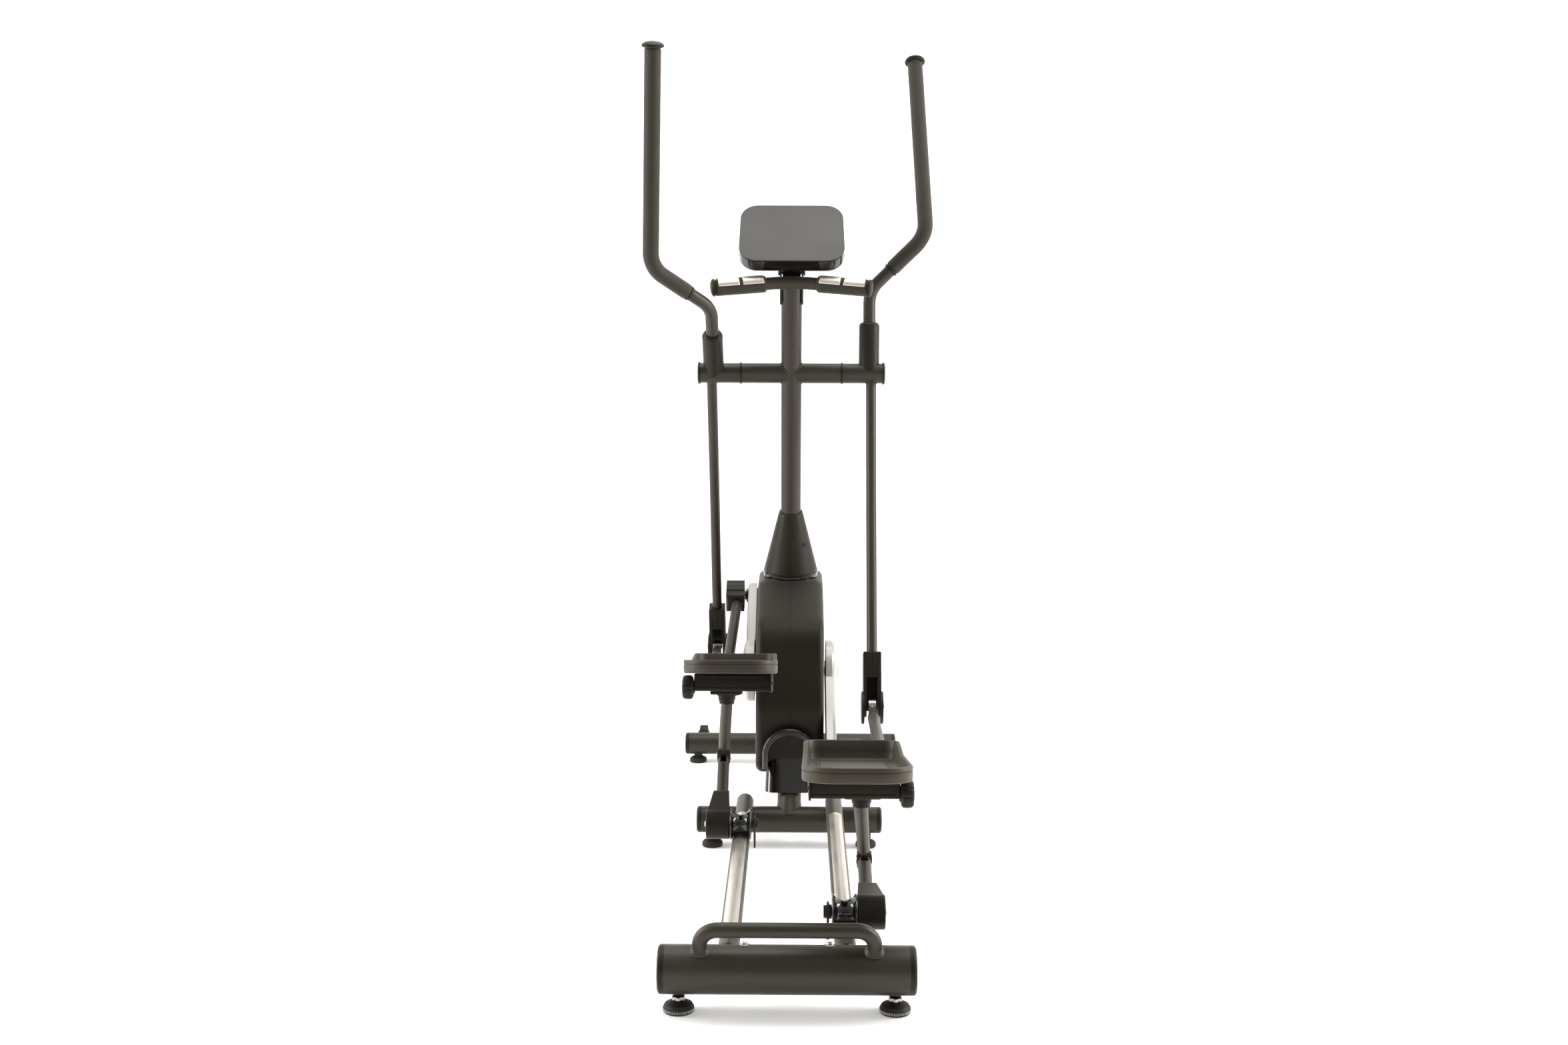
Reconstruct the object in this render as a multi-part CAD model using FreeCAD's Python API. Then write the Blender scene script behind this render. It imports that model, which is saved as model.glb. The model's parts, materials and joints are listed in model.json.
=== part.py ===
"""Front-drive elliptical trainer, built as separate named pieces.

Millimetres, +Z up. The user stands facing +Y, and +X is at the user's right hand.
The origin is on the floor, at the centre of the whole machine's box.
"""
import FreeCAD, Part
import math
import os
from FreeCAD import Matrix, Placement, Rotation, Vector

X_AXIS = Vector(1, 0, 0)
Y_AXIS = Vector(0, 1, 0)
Z_AXIS = Vector(0, 0, 1)
ORIGIN = Vector(0, 0, 0)
SIDES = {"left": -1, "right": 1}

# ---------------------------------------------------------------- driving dimensions
# Base frame: how far each cross tube lies from the crank axis, and its height.
REAR_TUBE_AFT = 1176.5
REAR_TUBE_Z = 71.0
REAR_TUBE_R = 40.0
REAR_TUBE_HALF = 200.0
MID_TUBE_AFT = 214.5
MID_TUBE_Z = 60.0
CROSS_TUBE_R = 28.5
MID_TUBE_HALF = 192.0
FRONT_TUBE_FORE = 583.5
FRONT_TUBE_Z = 50.0
FRONT_TUBE_HALF = 269.0
TUBE_WALL = 2.5
END_CAP = 11.0

# Carry handle, welded to the back of the rear tube.
CARRY_R = 12.5
CARRY_AFT = 30.0
CARRY_TOP_Z = 147.0
CARRY_HALF = 142.0

# Transport wheels, ahead of the front tube.
WHEEL_R = 22.0
WHEEL_FORE = 52.0
WHEEL_Z = 66.0
WHEEL_X = 233.5
WHEEL_WIDTH = 22.0

# Feet.
REAR_FOOT_X = 177.5
MID_FOOT_X = 169.0
FRONT_FOOT_X = 248.0
PAD_R = 25.5

# Rails and rollers.
RAIL_X = 97.0
RAIL_R = 18.0
RAIL_RISE = 0.010
ROLLER_AXLE_Z_AT_REAR = 130.0
AXLE_ABOVE_RAIL = 39.0
STRIP_R = 19.7
ROLLER_GROOVE_R = 20.0
ROLLER_R = 30.8
ROLLER_HALF = 21.5
ROLLER_AXLE_R = 8.0

# Crank and linkage.
CRANK_Z = 354.0
CRANK_RADIUS = 268.0
CRANK_REST_DEG = 32.7
CRANK_AXLE_R = 10.0
CONNECTING_LENGTH = 840.0
CONNECTING_X = 136.0
CONNECTING_R = 12.0
PEDAL_PIVOT_ALONG = 200.0
PEDAL_PIVOT_UP = 14.0
HINGE_X = 138.0
HINGE_HALF = 13.0
PEDAL_ARM_LENGTH = 665.0
PIVOT_PIN_R = 8.0
RUNNING = 0.06

# Swing arms.
SWING_AFT = 22.5
SWING_Z = 1040.0
SWING_RADIUS = 750.0
SWING_X = 180.5
HUB_R = 22.5
PIVOT_AXLE_R = 15.0
HUB_INNER_X = 116.0
HUB_OUTER_X = 206.0
HANDLE_X = 175.5
LOWER_TUBE_R = 11.5
HANDLE_R = 14.0
GRIP_R = 17.5

# Mast.
MAST_R = 23.0
MAST_LEAN_DEG = 17.0
MAST_BASE_Z = 400.0
MAST_TOP_Z = 1236.0

# Pedal, measured along and square to its own floor.
PEDAL_LENGTH = 362.0
PEDAL_WIDTH = 183.0
PEDAL_TOE_WIDTH = 174.0
PEDAL_RIM = 26.0
PEDAL_FLOOR = 5.0
PEDAL_CENTRE_X = 114.0
PEDAL_FRONT_ALONG = 65.0
PEDAL_FRONT_UP = 162.4
PEDAL_PITCH_DEG = -20.9

# Drive, inside the shroud.
SHROUD_HALF = 76.0
SHROUD_WALL = 3.0
PULLEY_R = 125.0
FLYWHEEL_FORE = 307.0
FLYWHEEL_Z = 318.0
FLYWHEEL_R = 135.0
SMALL_PULLEY_R = 25.0
BELT_X = 38.0
BELT_WIDTH = 16.0

# ---------------------------------------------------------------- worked-out places
REAR_REACH = REAR_TUBE_AFT + CARRY_AFT + CARRY_R
FRONT_REACH = FRONT_TUBE_FORE + WHEEL_FORE + WHEEL_R
CRANK_Y = (REAR_REACH - FRONT_REACH) / 2
REAR_Y = CRANK_Y - REAR_TUBE_AFT
MID_Y = CRANK_Y - MID_TUBE_AFT
FRONT_Y = CRANK_Y + FRONT_TUBE_FORE
SWING_Y = CRANK_Y - SWING_AFT
FLYWHEEL_Y = CRANK_Y + FLYWHEEL_FORE
RAIL_ANGLE = math.atan(RAIL_RISE)
MAST_AXIS = Vector(0, -math.sin(math.radians(MAST_LEAN_DEG)), math.cos(math.radians(MAST_LEAN_DEG)))


def mast_y(z):
    """Y of the mast's axis at height z: it passes through the swing pivot."""
    return SWING_Y - (z - SWING_Z) * math.tan(math.radians(MAST_LEAN_DEG))


def axle_z(y):
    """Height of a roller's axle when it is at y on the rail."""
    return ROLLER_AXLE_Z_AT_REAR + RAIL_RISE * (y - REAR_Y)


def linkage(crank_deg):
    """Places and slopes of one side's linkage with its crank at crank_deg."""
    turn = math.radians(crank_deg)
    pin_y = CRANK_Y + CRANK_RADIUS * math.cos(turn)
    pin_z = CRANK_Z + CRANK_RADIUS * math.sin(turn)
    # The roller's axle lies on the rail's line, one connecting length behind the pin.
    along = Vector(0, math.cos(RAIL_ANGLE), math.sin(RAIL_ANGLE))
    base = Vector(0, REAR_Y, ROLLER_AXLE_Z_AT_REAR)
    pin = Vector(0, pin_y, pin_z)
    reach = (pin - base).dot(along)
    height = ((pin - base) - along * reach).Length
    roller = base + along * (reach - math.sqrt(CONNECTING_LENGTH ** 2 - height ** 2))
    link_slope = math.atan2(pin.z - roller.z, pin.y - roller.y)
    pivot = roller + Vector(0, math.cos(link_slope), math.sin(link_slope)) * PEDAL_PIVOT_ALONG
    pivot = pivot + Vector(0, -math.sin(link_slope), math.cos(link_slope)) * PEDAL_PIVOT_UP
    # The rod end is where the pedal arm's circle meets the swing arm's, on its front side.
    swing = Vector(0, SWING_Y, SWING_Z)
    gap = swing - pivot
    span = gap.Length
    part = (PEDAL_ARM_LENGTH ** 2 - SWING_RADIUS ** 2 + span ** 2) / (2 * span)
    rise = math.sqrt(PEDAL_ARM_LENGTH ** 2 - part ** 2)
    unit = gap * (1 / span)
    square = Vector(0, unit.z, -unit.y)
    rod_end = pivot + unit * part + square * rise
    pedal_slope = math.atan2(rod_end.z - pivot.z, rod_end.y - pivot.y)
    swing_angle = math.atan2(rod_end.y - swing.y, swing.z - rod_end.z)
    return {
        "pin": pin,
        "roller": roller,
        "along": reach - math.sqrt(CONNECTING_LENGTH ** 2 - height ** 2),
        "link_slope": link_slope,
        "pivot": pivot,
        "rod_end": rod_end,
        "pedal_slope": pedal_slope,
        "swing_angle": swing_angle,
    }


REST = {
    "left": linkage(CRANK_REST_DEG),
    "right": linkage(CRANK_REST_DEG + 180),
}


# ---------------------------------------------------------------- shape helpers
def rod(start, end, radius):
    """Solid round bar between two points."""
    return Part.makeCylinder(radius, (end - start).Length, start, end - start)


def pipe(start, end, radius, bore):
    """Round tube between two points."""
    return rod(start, end, radius).cut(rod(start, end, bore))


def cross_rod(x_from, x_to, y, z, radius):
    """Solid round bar along X."""
    low = min(x_from, x_to)
    return Part.makeCylinder(radius, abs(x_to - x_from), Vector(low, y, z), X_AXIS)


def box(x_span, y_span, z_span):
    """Box from its three spans."""
    size = (x_span[1] - x_span[0], y_span[1] - y_span[0], z_span[1] - z_span[0])
    return Part.makeBox(*size, Vector(x_span[0], y_span[0], z_span[0]))


def ordered(one, other):
    """Two numbers as a rising span."""
    return (min(one, other), max(one, other))


def fuse(shapes):
    """One clean solid from shapes that overlap."""
    whole = shapes[0].fuse(shapes[1:])
    return whole.removeSplitter()


def rounded_loop(points, radii):
    """Closed wire through points, with each corner rounded to its radius."""
    edges = []
    tangents = []
    count = len(points)
    for index in range(count):
        corner = points[index]
        back = (points[index - 1] - corner).normalize()
        ahead = (points[(index + 1) % count] - corner).normalize()
        half = back.getAngle(ahead) / 2
        cut = radii[index] / math.tan(half)
        middle = (back + ahead).normalize()
        centre = corner + middle * (radii[index] / math.sin(half))
        crown = centre - middle * radii[index]
        tangents.append((corner + back * cut, crown, corner + ahead * cut))
    for index in range(count):
        enter, crown, leave = tangents[index]
        edges.append(Part.Arc(enter, crown, leave).toShape())
        following = tangents[(index + 1) % count][0]
        if (following - leave).Length > 1e-6:
            edges.append(Part.LineSegment(leave, following).toShape())
    return Part.Wire(Part.__sortEdges__(edges))


def bent_path(points, bend_radius):
    """Open wire through points, with a tangent arc at each inner point."""
    edges = []
    start = points[0]
    for index in range(1, len(points) - 1):
        corner = points[index]
        back = (points[index - 1] - corner).normalize()
        ahead = (points[index + 1] - corner).normalize()
        half = back.getAngle(ahead) / 2
        cut = bend_radius / math.tan(half)
        middle = (back + ahead).normalize()
        centre = corner + middle * (bend_radius / math.sin(half))
        enter = corner + back * cut
        leave = corner + ahead * cut
        edges.append(Part.LineSegment(start, enter).toShape())
        edges.append(Part.Arc(enter, centre - middle * bend_radius, leave).toShape())
        start = leave
    edges.append(Part.LineSegment(start, points[-1]).toShape())
    return Part.Wire(edges)


def bent_bar(points, bend_radius, radius):
    """Solid round bar swept along a bent path."""
    path = bent_path(points, bend_radius)
    ring = Part.makeCircle(radius, points[0], points[1] - points[0])
    return path.makePipeShell([Part.Wire([ring])], True, True)


def bent_tube(points, bend_radius, radius, bore):
    """Round tube swept along a bent path."""
    return bent_bar(points, bend_radius, radius).cut(bent_bar(points, bend_radius, bore))


def tangent_loop(first, first_r, second, second_r):
    """Closed wire round two circles in a plane of constant X."""
    gap = second - first
    heading = math.atan2(gap.z, gap.y)
    spread = math.acos((first_r - second_r) / gap.Length)

    def on(centre, radius, angle):
        return centre + Vector(0, math.cos(angle), math.sin(angle)) * radius

    a_up = on(first, first_r, heading + spread)
    a_down = on(first, first_r, heading - spread)
    b_up = on(second, second_r, heading + spread)
    b_down = on(second, second_r, heading - spread)
    edges = [
        Part.LineSegment(a_up, b_up).toShape(),
        Part.Arc(b_up, on(second, second_r, heading), b_down).toShape(),
        Part.LineSegment(b_down, a_down).toShape(),
        Part.Arc(a_down, on(first, first_r, heading + math.pi), a_up).toShape(),
    ]
    return Part.Wire(edges)


def tangent_plate(x_span, first, first_r, second, second_r):
    """Flat plate along X, round two circles and straight between them."""
    lift = Vector(x_span[0], 0, 0)
    wire = tangent_loop(first + lift, first_r, second + lift, second_r)
    return Part.Face(wire).extrude(Vector(x_span[1] - x_span[0], 0, 0))


def turned(profile, base, axis):
    """Solid of revolution: profile is (radius, height) pairs along axis from base."""
    points = [Vector(radius, 0, height) for radius, height in profile]
    points.append(points[0])
    solid = Part.Face(Part.makePolygon(points)).revolve(ORIGIN, Z_AXIS, 360)
    solid.Placement = Placement(base, Rotation(Z_AXIS, axis))
    return solid


def placed(shape, angle, origin):
    """Shape drawn in an arm's own frame, tilted about X and moved to its pivot."""
    moved = shape.copy()
    moved.Placement = Placement(origin, Rotation(X_AXIS, math.degrees(angle))).multiply(moved.Placement)
    return moved


def mirrored(shape):
    """The same shape on the other side of the machine's middle plane."""
    return shape.mirror(ORIGIN, X_AXIS)


def on_side(shape, side):
    """A shape drawn for the right side, put on the named side."""
    return shape if side == "right" else mirrored(shape)


def soften(solid, radius, chosen):
    """Fillet of the edges that chosen picks."""
    edges = [edge for edge in solid.Edges if chosen(edge)]
    return solid.makeFillet(radius, edges)


def group(solids):
    """Several separate pieces kept in one node."""
    return Part.makeCompound(solids)


# ---------------------------------------------------------------- base frame
def rear_stabiliser():
    tube = pipe(
        Vector(-REAR_TUBE_HALF, REAR_Y, REAR_TUBE_Z),
        Vector(REAR_TUBE_HALF, REAR_Y, REAR_TUBE_Z),
        REAR_TUBE_R,
        REAR_TUBE_R - TUBE_WALL,
    )
    centre = Vector(0, REAR_Y, REAR_TUBE_Z)
    crown = Vector(0, REAR_Y - CARRY_AFT, CARRY_TOP_Z)
    radial = (crown - centre).normalize()
    points = []
    for x, spot in (
        (-CARRY_HALF, centre + radial * (REAR_TUBE_R - 1.5)),
        (-CARRY_HALF, crown),
        (CARRY_HALF, crown),
        (CARRY_HALF, centre + radial * (REAR_TUBE_R - 1.5)),
    ):
        points.append(Vector(x, spot.y, spot.z))
    handle = bent_bar(points, 30, CARRY_R)
    pieces = [tube, handle]
    for x in (-CARRY_HALF, CARRY_HALF):
        base = centre + radial * (REAR_TUBE_R - 2) + Vector(x, 0, 0)
        pieces.append(Part.makeCone(CARRY_R + 5, CARRY_R, 8, base, radial))
    body = fuse(pieces)
    for x in (-REAR_FOOT_X, REAR_FOOT_X):
        body = body.cut(rod(Vector(x, REAR_Y, 20), Vector(x, REAR_Y, REAR_TUBE_Z), 5.1))
    return body


def middle_crossbar():
    return pipe(
        Vector(-MID_TUBE_HALF, MID_Y, MID_TUBE_Z),
        Vector(MID_TUBE_HALF, MID_Y, MID_TUBE_Z),
        CROSS_TUBE_R,
        CROSS_TUBE_R - TUBE_WALL,
    )


def front_stabiliser():
    tube = pipe(
        Vector(-FRONT_TUBE_HALF, FRONT_Y, FRONT_TUBE_Z),
        Vector(FRONT_TUBE_HALF, FRONT_Y, FRONT_TUBE_Z),
        CROSS_TUBE_R,
        CROSS_TUBE_R - TUBE_WALL,
    )
    hollow = rod(
        Vector(-FRONT_TUBE_HALF, FRONT_Y, FRONT_TUBE_Z),
        Vector(FRONT_TUBE_HALF, FRONT_Y, FRONT_TUBE_Z),
        CROSS_TUBE_R - TUBE_WALL,
    )
    axle = Vector(0, FRONT_Y + WHEEL_FORE, WHEEL_Z)
    root = Vector(0, FRONT_Y + 8, FRONT_TUBE_Z + 6)
    pieces = [tube]
    for side in (-1, 1):
        for offset in (-WHEEL_WIDTH / 2 - 2.5, WHEEL_WIDTH / 2 + 2.5):
            x = side * WHEEL_X + offset
            plate = tangent_plate((x - 1.5, x + 1.5), root, 17, axle, 9)
            pieces.append(plate.cut(hollow))
        reach = WHEEL_WIDTH / 2 + 4
        pieces.append(cross_rod(side * WHEEL_X - reach, side * WHEEL_X + reach, axle.y, axle.z, 5))
    return fuse(pieces)


def end_plug(x, y, z, radius, wall):
    """Domed plastic plug in the open end of a cross tube."""
    outward = Vector(math.copysign(1, x), 0, 0)
    edge = 4.0
    profile = [
        (0, -16),
        (radius - wall - 0.15, -16),
        (radius - wall - 0.15, 0),
        (radius, 0),
        (radius, END_CAP - edge),
        (radius - 1.2, END_CAP - 1.6),
        (radius - edge, END_CAP),
        (0, END_CAP),
    ]
    return turned(profile, Vector(x, y, z), outward)


def tube_end_caps():
    caps = []
    for side in (-1, 1):
        caps.append(end_plug(side * REAR_TUBE_HALF, REAR_Y, REAR_TUBE_Z, REAR_TUBE_R, TUBE_WALL))
        caps.append(end_plug(side * MID_TUBE_HALF, MID_Y, MID_TUBE_Z, CROSS_TUBE_R, TUBE_WALL))
        caps.append(end_plug(side * FRONT_TUBE_HALF, FRONT_Y, FRONT_TUBE_Z, CROSS_TUBE_R, TUBE_WALL))
    return group(caps)


def rail_end(y):
    """Point on the right rail's axis at y."""
    return Vector(RAIL_X, y, axle_z(y) - AXLE_ABOVE_RAIL)


def rail_tubes():
    start = rail_end(REAR_Y + 20)
    end = rail_end(MID_Y - 2)
    rail = pipe(start, end, RAIL_R, RAIL_R - TUBE_WALL)
    plug = rod(rail_end(MID_Y - 6), end, RAIL_R - 1)
    rail = fuse([rail, plug])
    rail = rail.cut(cross_rod(-200, 200, REAR_Y, REAR_TUBE_Z, REAR_TUBE_R))
    rail = rail.cut(cross_rod(-200, 200, MID_Y, MID_TUBE_Z, CROSS_TUBE_R))
    return group([rail, mirrored(rail)])


def rail_strips():
    """Aluminium running strips on top of the rails, each held by a screw at its ends."""
    start = rail_end(REAR_Y + REAR_TUBE_R + 14)
    end = rail_end(MID_Y - 156)
    strip = pipe(start, end, STRIP_R, RAIL_R + 0.1)
    wedge = Part.makePolygon([
        Vector(0, 0, 0),
        Vector(30, 0, 34),
        Vector(-30, 0, 34),
        Vector(0, 0, 0),
    ])
    keep = Part.Face(wedge).extrude(Vector(0, (end - start).Length + 20, 0))
    keep.Placement = Placement(start - Vector(0, 10, 0), Rotation(X_AXIS, math.degrees(RAIL_ANGLE)))
    strip = strip.common(keep)
    pieces = [strip]
    for spot in (rail_end(REAR_Y + REAR_TUBE_R + 24), rail_end(MID_Y - 166)):
        foot = spot + Vector(0, 0, STRIP_R - 1)
        pieces.append(turned([(0, 0), (4.5, 0), (4.2, 2.0), (2.5, 3.1), (0, 3.3)], foot, Z_AXIS))
    right = fuse(pieces)
    return group([right, mirrored(right)])


def frame_spine():
    """Low spine, raked post, bottom bracket, front strut and mast socket, all welded."""
    spine = box((-25, 25), (MID_Y, FRONT_Y), (34, 82))
    spine = spine.cut(box((-22.5, 22.5), (MID_Y, FRONT_Y), (36.5, 79.5)))
    spine = spine.cut(cross_rod(-60, 60, MID_Y, MID_TUBE_Z, CROSS_TUBE_R))
    spine = spine.cut(cross_rod(-60, 60, FRONT_Y, FRONT_TUBE_Z, CROSS_TUBE_R))
    shell = pipe(Vector(-60, CRANK_Y, CRANK_Z), Vector(22, CRANK_Y, CRANK_Z), 30, 26)
    post_foot = Vector(0, MID_Y, MID_TUBE_Z)
    post = rod(post_foot, Vector(0, CRANK_Y - 14, CRANK_Z - 20), 26)
    post = post.cut(cross_rod(-60, 60, MID_Y, MID_TUBE_Z, CROSS_TUBE_R))
    collar_cut = cross_rod(-60, 60, MID_Y, MID_TUBE_Z, CROSS_TUBE_R)
    heading = Vector(0, CRANK_Y - 14 - MID_Y, CRANK_Z - 20 - MID_TUBE_Z)
    weld = Part.makeCone(31, 26, 40, post_foot, heading).cut(collar_cut)
    socket_low = Vector(0, mast_y(MAST_BASE_Z - 12), MAST_BASE_Z - 12)
    socket_high = socket_low + MAST_AXIS * 80
    socket = rod(socket_low, socket_high, MAST_R + 4)
    gusset = Part.Face(Part.makePolygon([
        Vector(-6, CRANK_Y - 10, CRANK_Z - 20),
        Vector(-6, CRANK_Y + 24, CRANK_Z + 16),
        Vector(-6, mast_y(MAST_BASE_Z + 40), MAST_BASE_Z + 40),
        Vector(-6, mast_y(MAST_BASE_Z) + 18, MAST_BASE_Z + 12),
        Vector(-6, FLYWHEEL_Y + 24, FLYWHEEL_Z + 24),
        Vector(-6, FLYWHEEL_Y + 34, FLYWHEEL_Z - 20),
        Vector(-6, FLYWHEEL_Y + 30, 80),
        Vector(-6, FLYWHEEL_Y - 40, 80),
        Vector(-6, CRANK_Y - 10, CRANK_Z - 20),
    ])).extrude(Vector(12, 0, 0))
    housing = cross_rod(-10, 10, FLYWHEEL_Y, FLYWHEEL_Z, 24)
    whole = fuse([spine, shell, post, weld, socket, gusset, housing])
    whole = whole.cut(rod(socket_low + MAST_AXIS * 6, socket_high, MAST_R + 0.1))
    whole = whole.cut(cross_rod(-62, 24, CRANK_Y, CRANK_Z, 26))
    whole = whole.cut(cross_rod(22, 50, CRANK_Y, CRANK_Z, PULLEY_R + 6))
    return whole.cut(cross_rod(-62, 24, FLYWHEEL_Y, FLYWHEEL_Z, PIVOT_PIN_R + 1 + RUNNING))


def crank_bearings():
    rings = []
    for x_from, x_to in ((-60, -46), (8, 22)):
        ring = cross_rod(x_from, x_to, CRANK_Y, CRANK_Z, 25.95)
        rings.append(ring.cut(cross_rod(x_from, x_to, CRANK_Y, CRANK_Z, CRANK_AXLE_R + RUNNING)))
    return group(rings)


def mast():
    """Raked mast with the fixed part of the swing pivot and its axle."""
    low = Vector(0, mast_y(MAST_BASE_Z), MAST_BASE_Z)
    high = Vector(0, mast_y(MAST_TOP_Z), MAST_TOP_Z)
    body = rod(low, high, MAST_R)
    barrel = cross_rod(-112, 112, SWING_Y, SWING_Z, HUB_R)
    axle = cross_rod(-201, 201, SWING_Y, SWING_Z, PIVOT_AXLE_R)
    shoulder = cross_rod(-115, 115, SWING_Y, SWING_Z, 18)
    whole = fuse([body, barrel, axle, shoulder])
    bore = rod(low, high, MAST_R - TUBE_WALL)
    core = cross_rod(-40, 40, SWING_Y, SWING_Z, HUB_R)
    whole = whole.cut(bore.cut(core))
    ears = []
    for side in (-1, 1):
        foot = Vector(0, mast_y(MAST_TOP_Z - 30), MAST_TOP_Z - 30)
        tip = Vector(0, CONSOLE_PIVOT.y, CONSOLE_PIVOT.z)
        ears.append(tangent_plate(ordered(side * 26, side * 22), foot, 14, tip, 10))
    whole = fuse([whole, rod(high - MAST_AXIS * 4, high, MAST_R)] + ears)
    return whole.cut(cross_rod(-40, 40, CONSOLE_PIVOT.y, CONSOLE_PIVOT.z, 4 + RUNNING))


# ---------------------------------------------------------------- covers
BOOT_FOOT_Z = 580.0
BEZEL_LOW_Z = 168.0
BEZEL_TOP_Z = 258.0
BEZEL_HALF = 60.0
BOOT_LOW_Z = 118.0
BOOT_HIGH_Z = 236.0
INLET_Z = 200.0
INLET_FORE = 476.0


def shroud_profile(inset):
    """Side outline of the drive shroud, as (forward of crank, height, corner radius)."""
    corners = (
        (-158, 148, 30),
        (-182, 300, 90),
        (-128, 478, 90),
        (60, 556, 70),
        (196, 566, 60),
        (408, 500, 130),
        (486, 330, 120),
        (462, 148, 55),
    )
    points = [Vector(0, CRANK_Y + fore, z) for fore, z, _ in corners]
    face = Part.Face(rounded_loop(points, [radius for _, _, radius in corners]))
    if inset:
        face = face.makeOffset2D(-inset)
    return face


def shroud_solid(inset):
    """Right half of the shroud's outer form, shrunk by inset."""
    half = shroud_profile(inset).extrude(Vector(SHROUD_HALF - inset, 0, 0))
    outer = SHROUD_HALF - inset
    return soften(half, 16 - inset, lambda edge: edge.CenterOfMass.x > outer - 0.01)


def shroud_cutters():
    """Everything that passes through the shroud."""
    mast_low = Vector(0, mast_y(450), 450)
    mast_high = Vector(0, mast_y(620), 620)
    post_low = Vector(0, MID_Y, MID_TUBE_Z)
    post_high = Vector(0, CRANK_Y - 14, CRANK_Z - 20)
    return [
        rod(mast_low, mast_high, MAST_R + 3),
        rod(post_low, post_high, 29),
        box((-30, 30), (FLYWHEEL_Y - 48, FLYWHEEL_Y + 38), (120, 170)),
        box((-28, 28), (CRANK_Y - 90, FLYWHEEL_Y + 60), (146, 152)),
        cross_rod(-100, 100, CRANK_Y, CRANK_Z, 17),
        rod(Vector(0, CRANK_Y + INLET_FORE - 20, INLET_Z), Vector(0, CRANK_Y + 520, INLET_Z), 9.1),
    ]


def shroud_half(side):
    shell = shroud_solid(0).cut(shroud_solid(SHROUD_WALL))
    for cutter in shroud_cutters():
        shell = shell.cut(cutter)
    shell = shell.cut(box((-1, 0.15), (-900, 1200), (0, 900)))
    return on_side(shell, side)


def mast_boot():
    """Two-part tapered boot where the mast enters the shroud."""
    foot = Vector(0, mast_y(BOOT_FOOT_Z), BOOT_FOOT_Z)
    outer = turned([(0, 0), (61, 0), (61, 5), (29.5, 136), (27.0, 144), (0, 144)], foot, MAST_AXIS)
    inner = turned([(0, -1), (58, -1), (58, 4), (26.5, 133), (0, 133)], foot, MAST_AXIS)
    shell = outer.cut(inner).cut(rod(foot, foot + MAST_AXIS * 160, MAST_R + 0.3))
    right = shell.cut(box((-90, 0.15), (-900, 900), (0, 900)))
    return group([right, mirrored(right)])


def arch_block(half, crown_z, y_span):
    """Solid with upright sides and a round top, for the bezel over the post boot."""
    top = rod(Vector(0, y_span[0], crown_z - half), Vector(0, y_span[1], crown_z - half), half)
    low = box((-half, half), y_span, (BEZEL_LOW_Z, crown_z - half))
    whole = top.fuse(low)
    return whole.cut(box((-half - 1, half + 1), (y_span[0] - 1, y_span[1] + 1), (0, BEZEL_LOW_Z)))


def bezel():
    """Glossy arch that stands proud of the shroud's lower rear face."""
    y_span = (CRANK_Y - 196, CRANK_Y - 150)
    outer = arch_block(BEZEL_HALF, BEZEL_TOP_Z, y_span)
    outer = soften(outer, 5, lambda edge: edge.CenterOfMass.y < y_span[0] + 0.01)
    inner = arch_block(BEZEL_HALF - 12, BEZEL_TOP_Z - 14, (y_span[0] - 1, y_span[1] + 1))
    return outer.cut(inner)


def trim_rings():
    """Glossy ring round the mast boot's foot, and the bezel over the post at the rear."""
    foot = Vector(0, mast_y(BOOT_FOOT_Z), BOOT_FOOT_Z)
    ring = turned([(55, -48), (64, -48), (64, -3), (61, -0.3), (55, -0.3)], foot, MAST_AXIS)
    form = shroud_solid(0)
    ring = ring.cut(form).cut(mirrored(form))
    arch = bezel().cut(form).cut(mirrored(form))
    keep = []
    for piece in (ring, arch):
        keep.append(sorted(piece.Solids, key=lambda solid: solid.Volume)[-1])
    return group(keep)


def post_boot():
    """Plastic boot round the raked post, below the shroud."""
    outline = []
    for z, half, depth in ((BOOT_LOW_Z, 54, 36), (BOOT_HIGH_Z, 50, 44)):
        rise = (z - MID_TUBE_Z) / (CRANK_Z - 20 - MID_TUBE_Z)
        centre = MID_Y + rise * (CRANK_Y - 14 - MID_Y)
        corners = []
        for x, y in ((-half, -depth), (half, -depth), (half, depth), (-half, depth)):
            corners.append(Vector(x, centre + y, z))
        outline.append(rounded_loop(corners, [22, 22, 22, 22]))
    body = Part.makeLoft(outline, True, True)
    form = shroud_solid(0)
    body = body.cut(form).cut(mirrored(form)).cut(bezel())
    post = rod(Vector(0, MID_Y, MID_TUBE_Z), Vector(0, CRANK_Y - 14, CRANK_Z - 20), 26.2)
    body = body.cut(post)
    return sorted(body.Solids, key=lambda solid: solid.Volume)[-1]


# ---------------------------------------------------------------- drive
def crank_axle():
    bar = cross_rod(-104, 104, CRANK_Y, CRANK_Z, CRANK_AXLE_R)
    flange = cross_rod(24, 27.5, CRANK_Y, CRANK_Z, 34)
    return fuse([bar, flange])


def drive_pulley():
    disc = cross_rod(28, 32, CRANK_Y, CRANK_Z, PULLEY_R)
    rim = cross_rod(BELT_X - BELT_WIDTH / 2 - 2, BELT_X + BELT_WIDTH / 2 + 2, CRANK_Y, CRANK_Z, PULLEY_R)
    rim = rim.cut(cross_rod(20, 60, CRANK_Y, CRANK_Z, PULLEY_R - 9))
    hub = cross_rod(28, 48, CRANK_Y, CRANK_Z, 26)
    wheel = fuse([disc, rim, hub])
    for step in range(5):
        turn = math.radians(72 * step)
        hole_y = CRANK_Y + 72 * math.cos(turn)
        hole_z = CRANK_Z + 72 * math.sin(turn)
        wheel = wheel.cut(cross_rod(20, 60, hole_y, hole_z, 26))
    return wheel.cut(cross_rod(20, 60, CRANK_Y, CRANK_Z, CRANK_AXLE_R))


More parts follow.
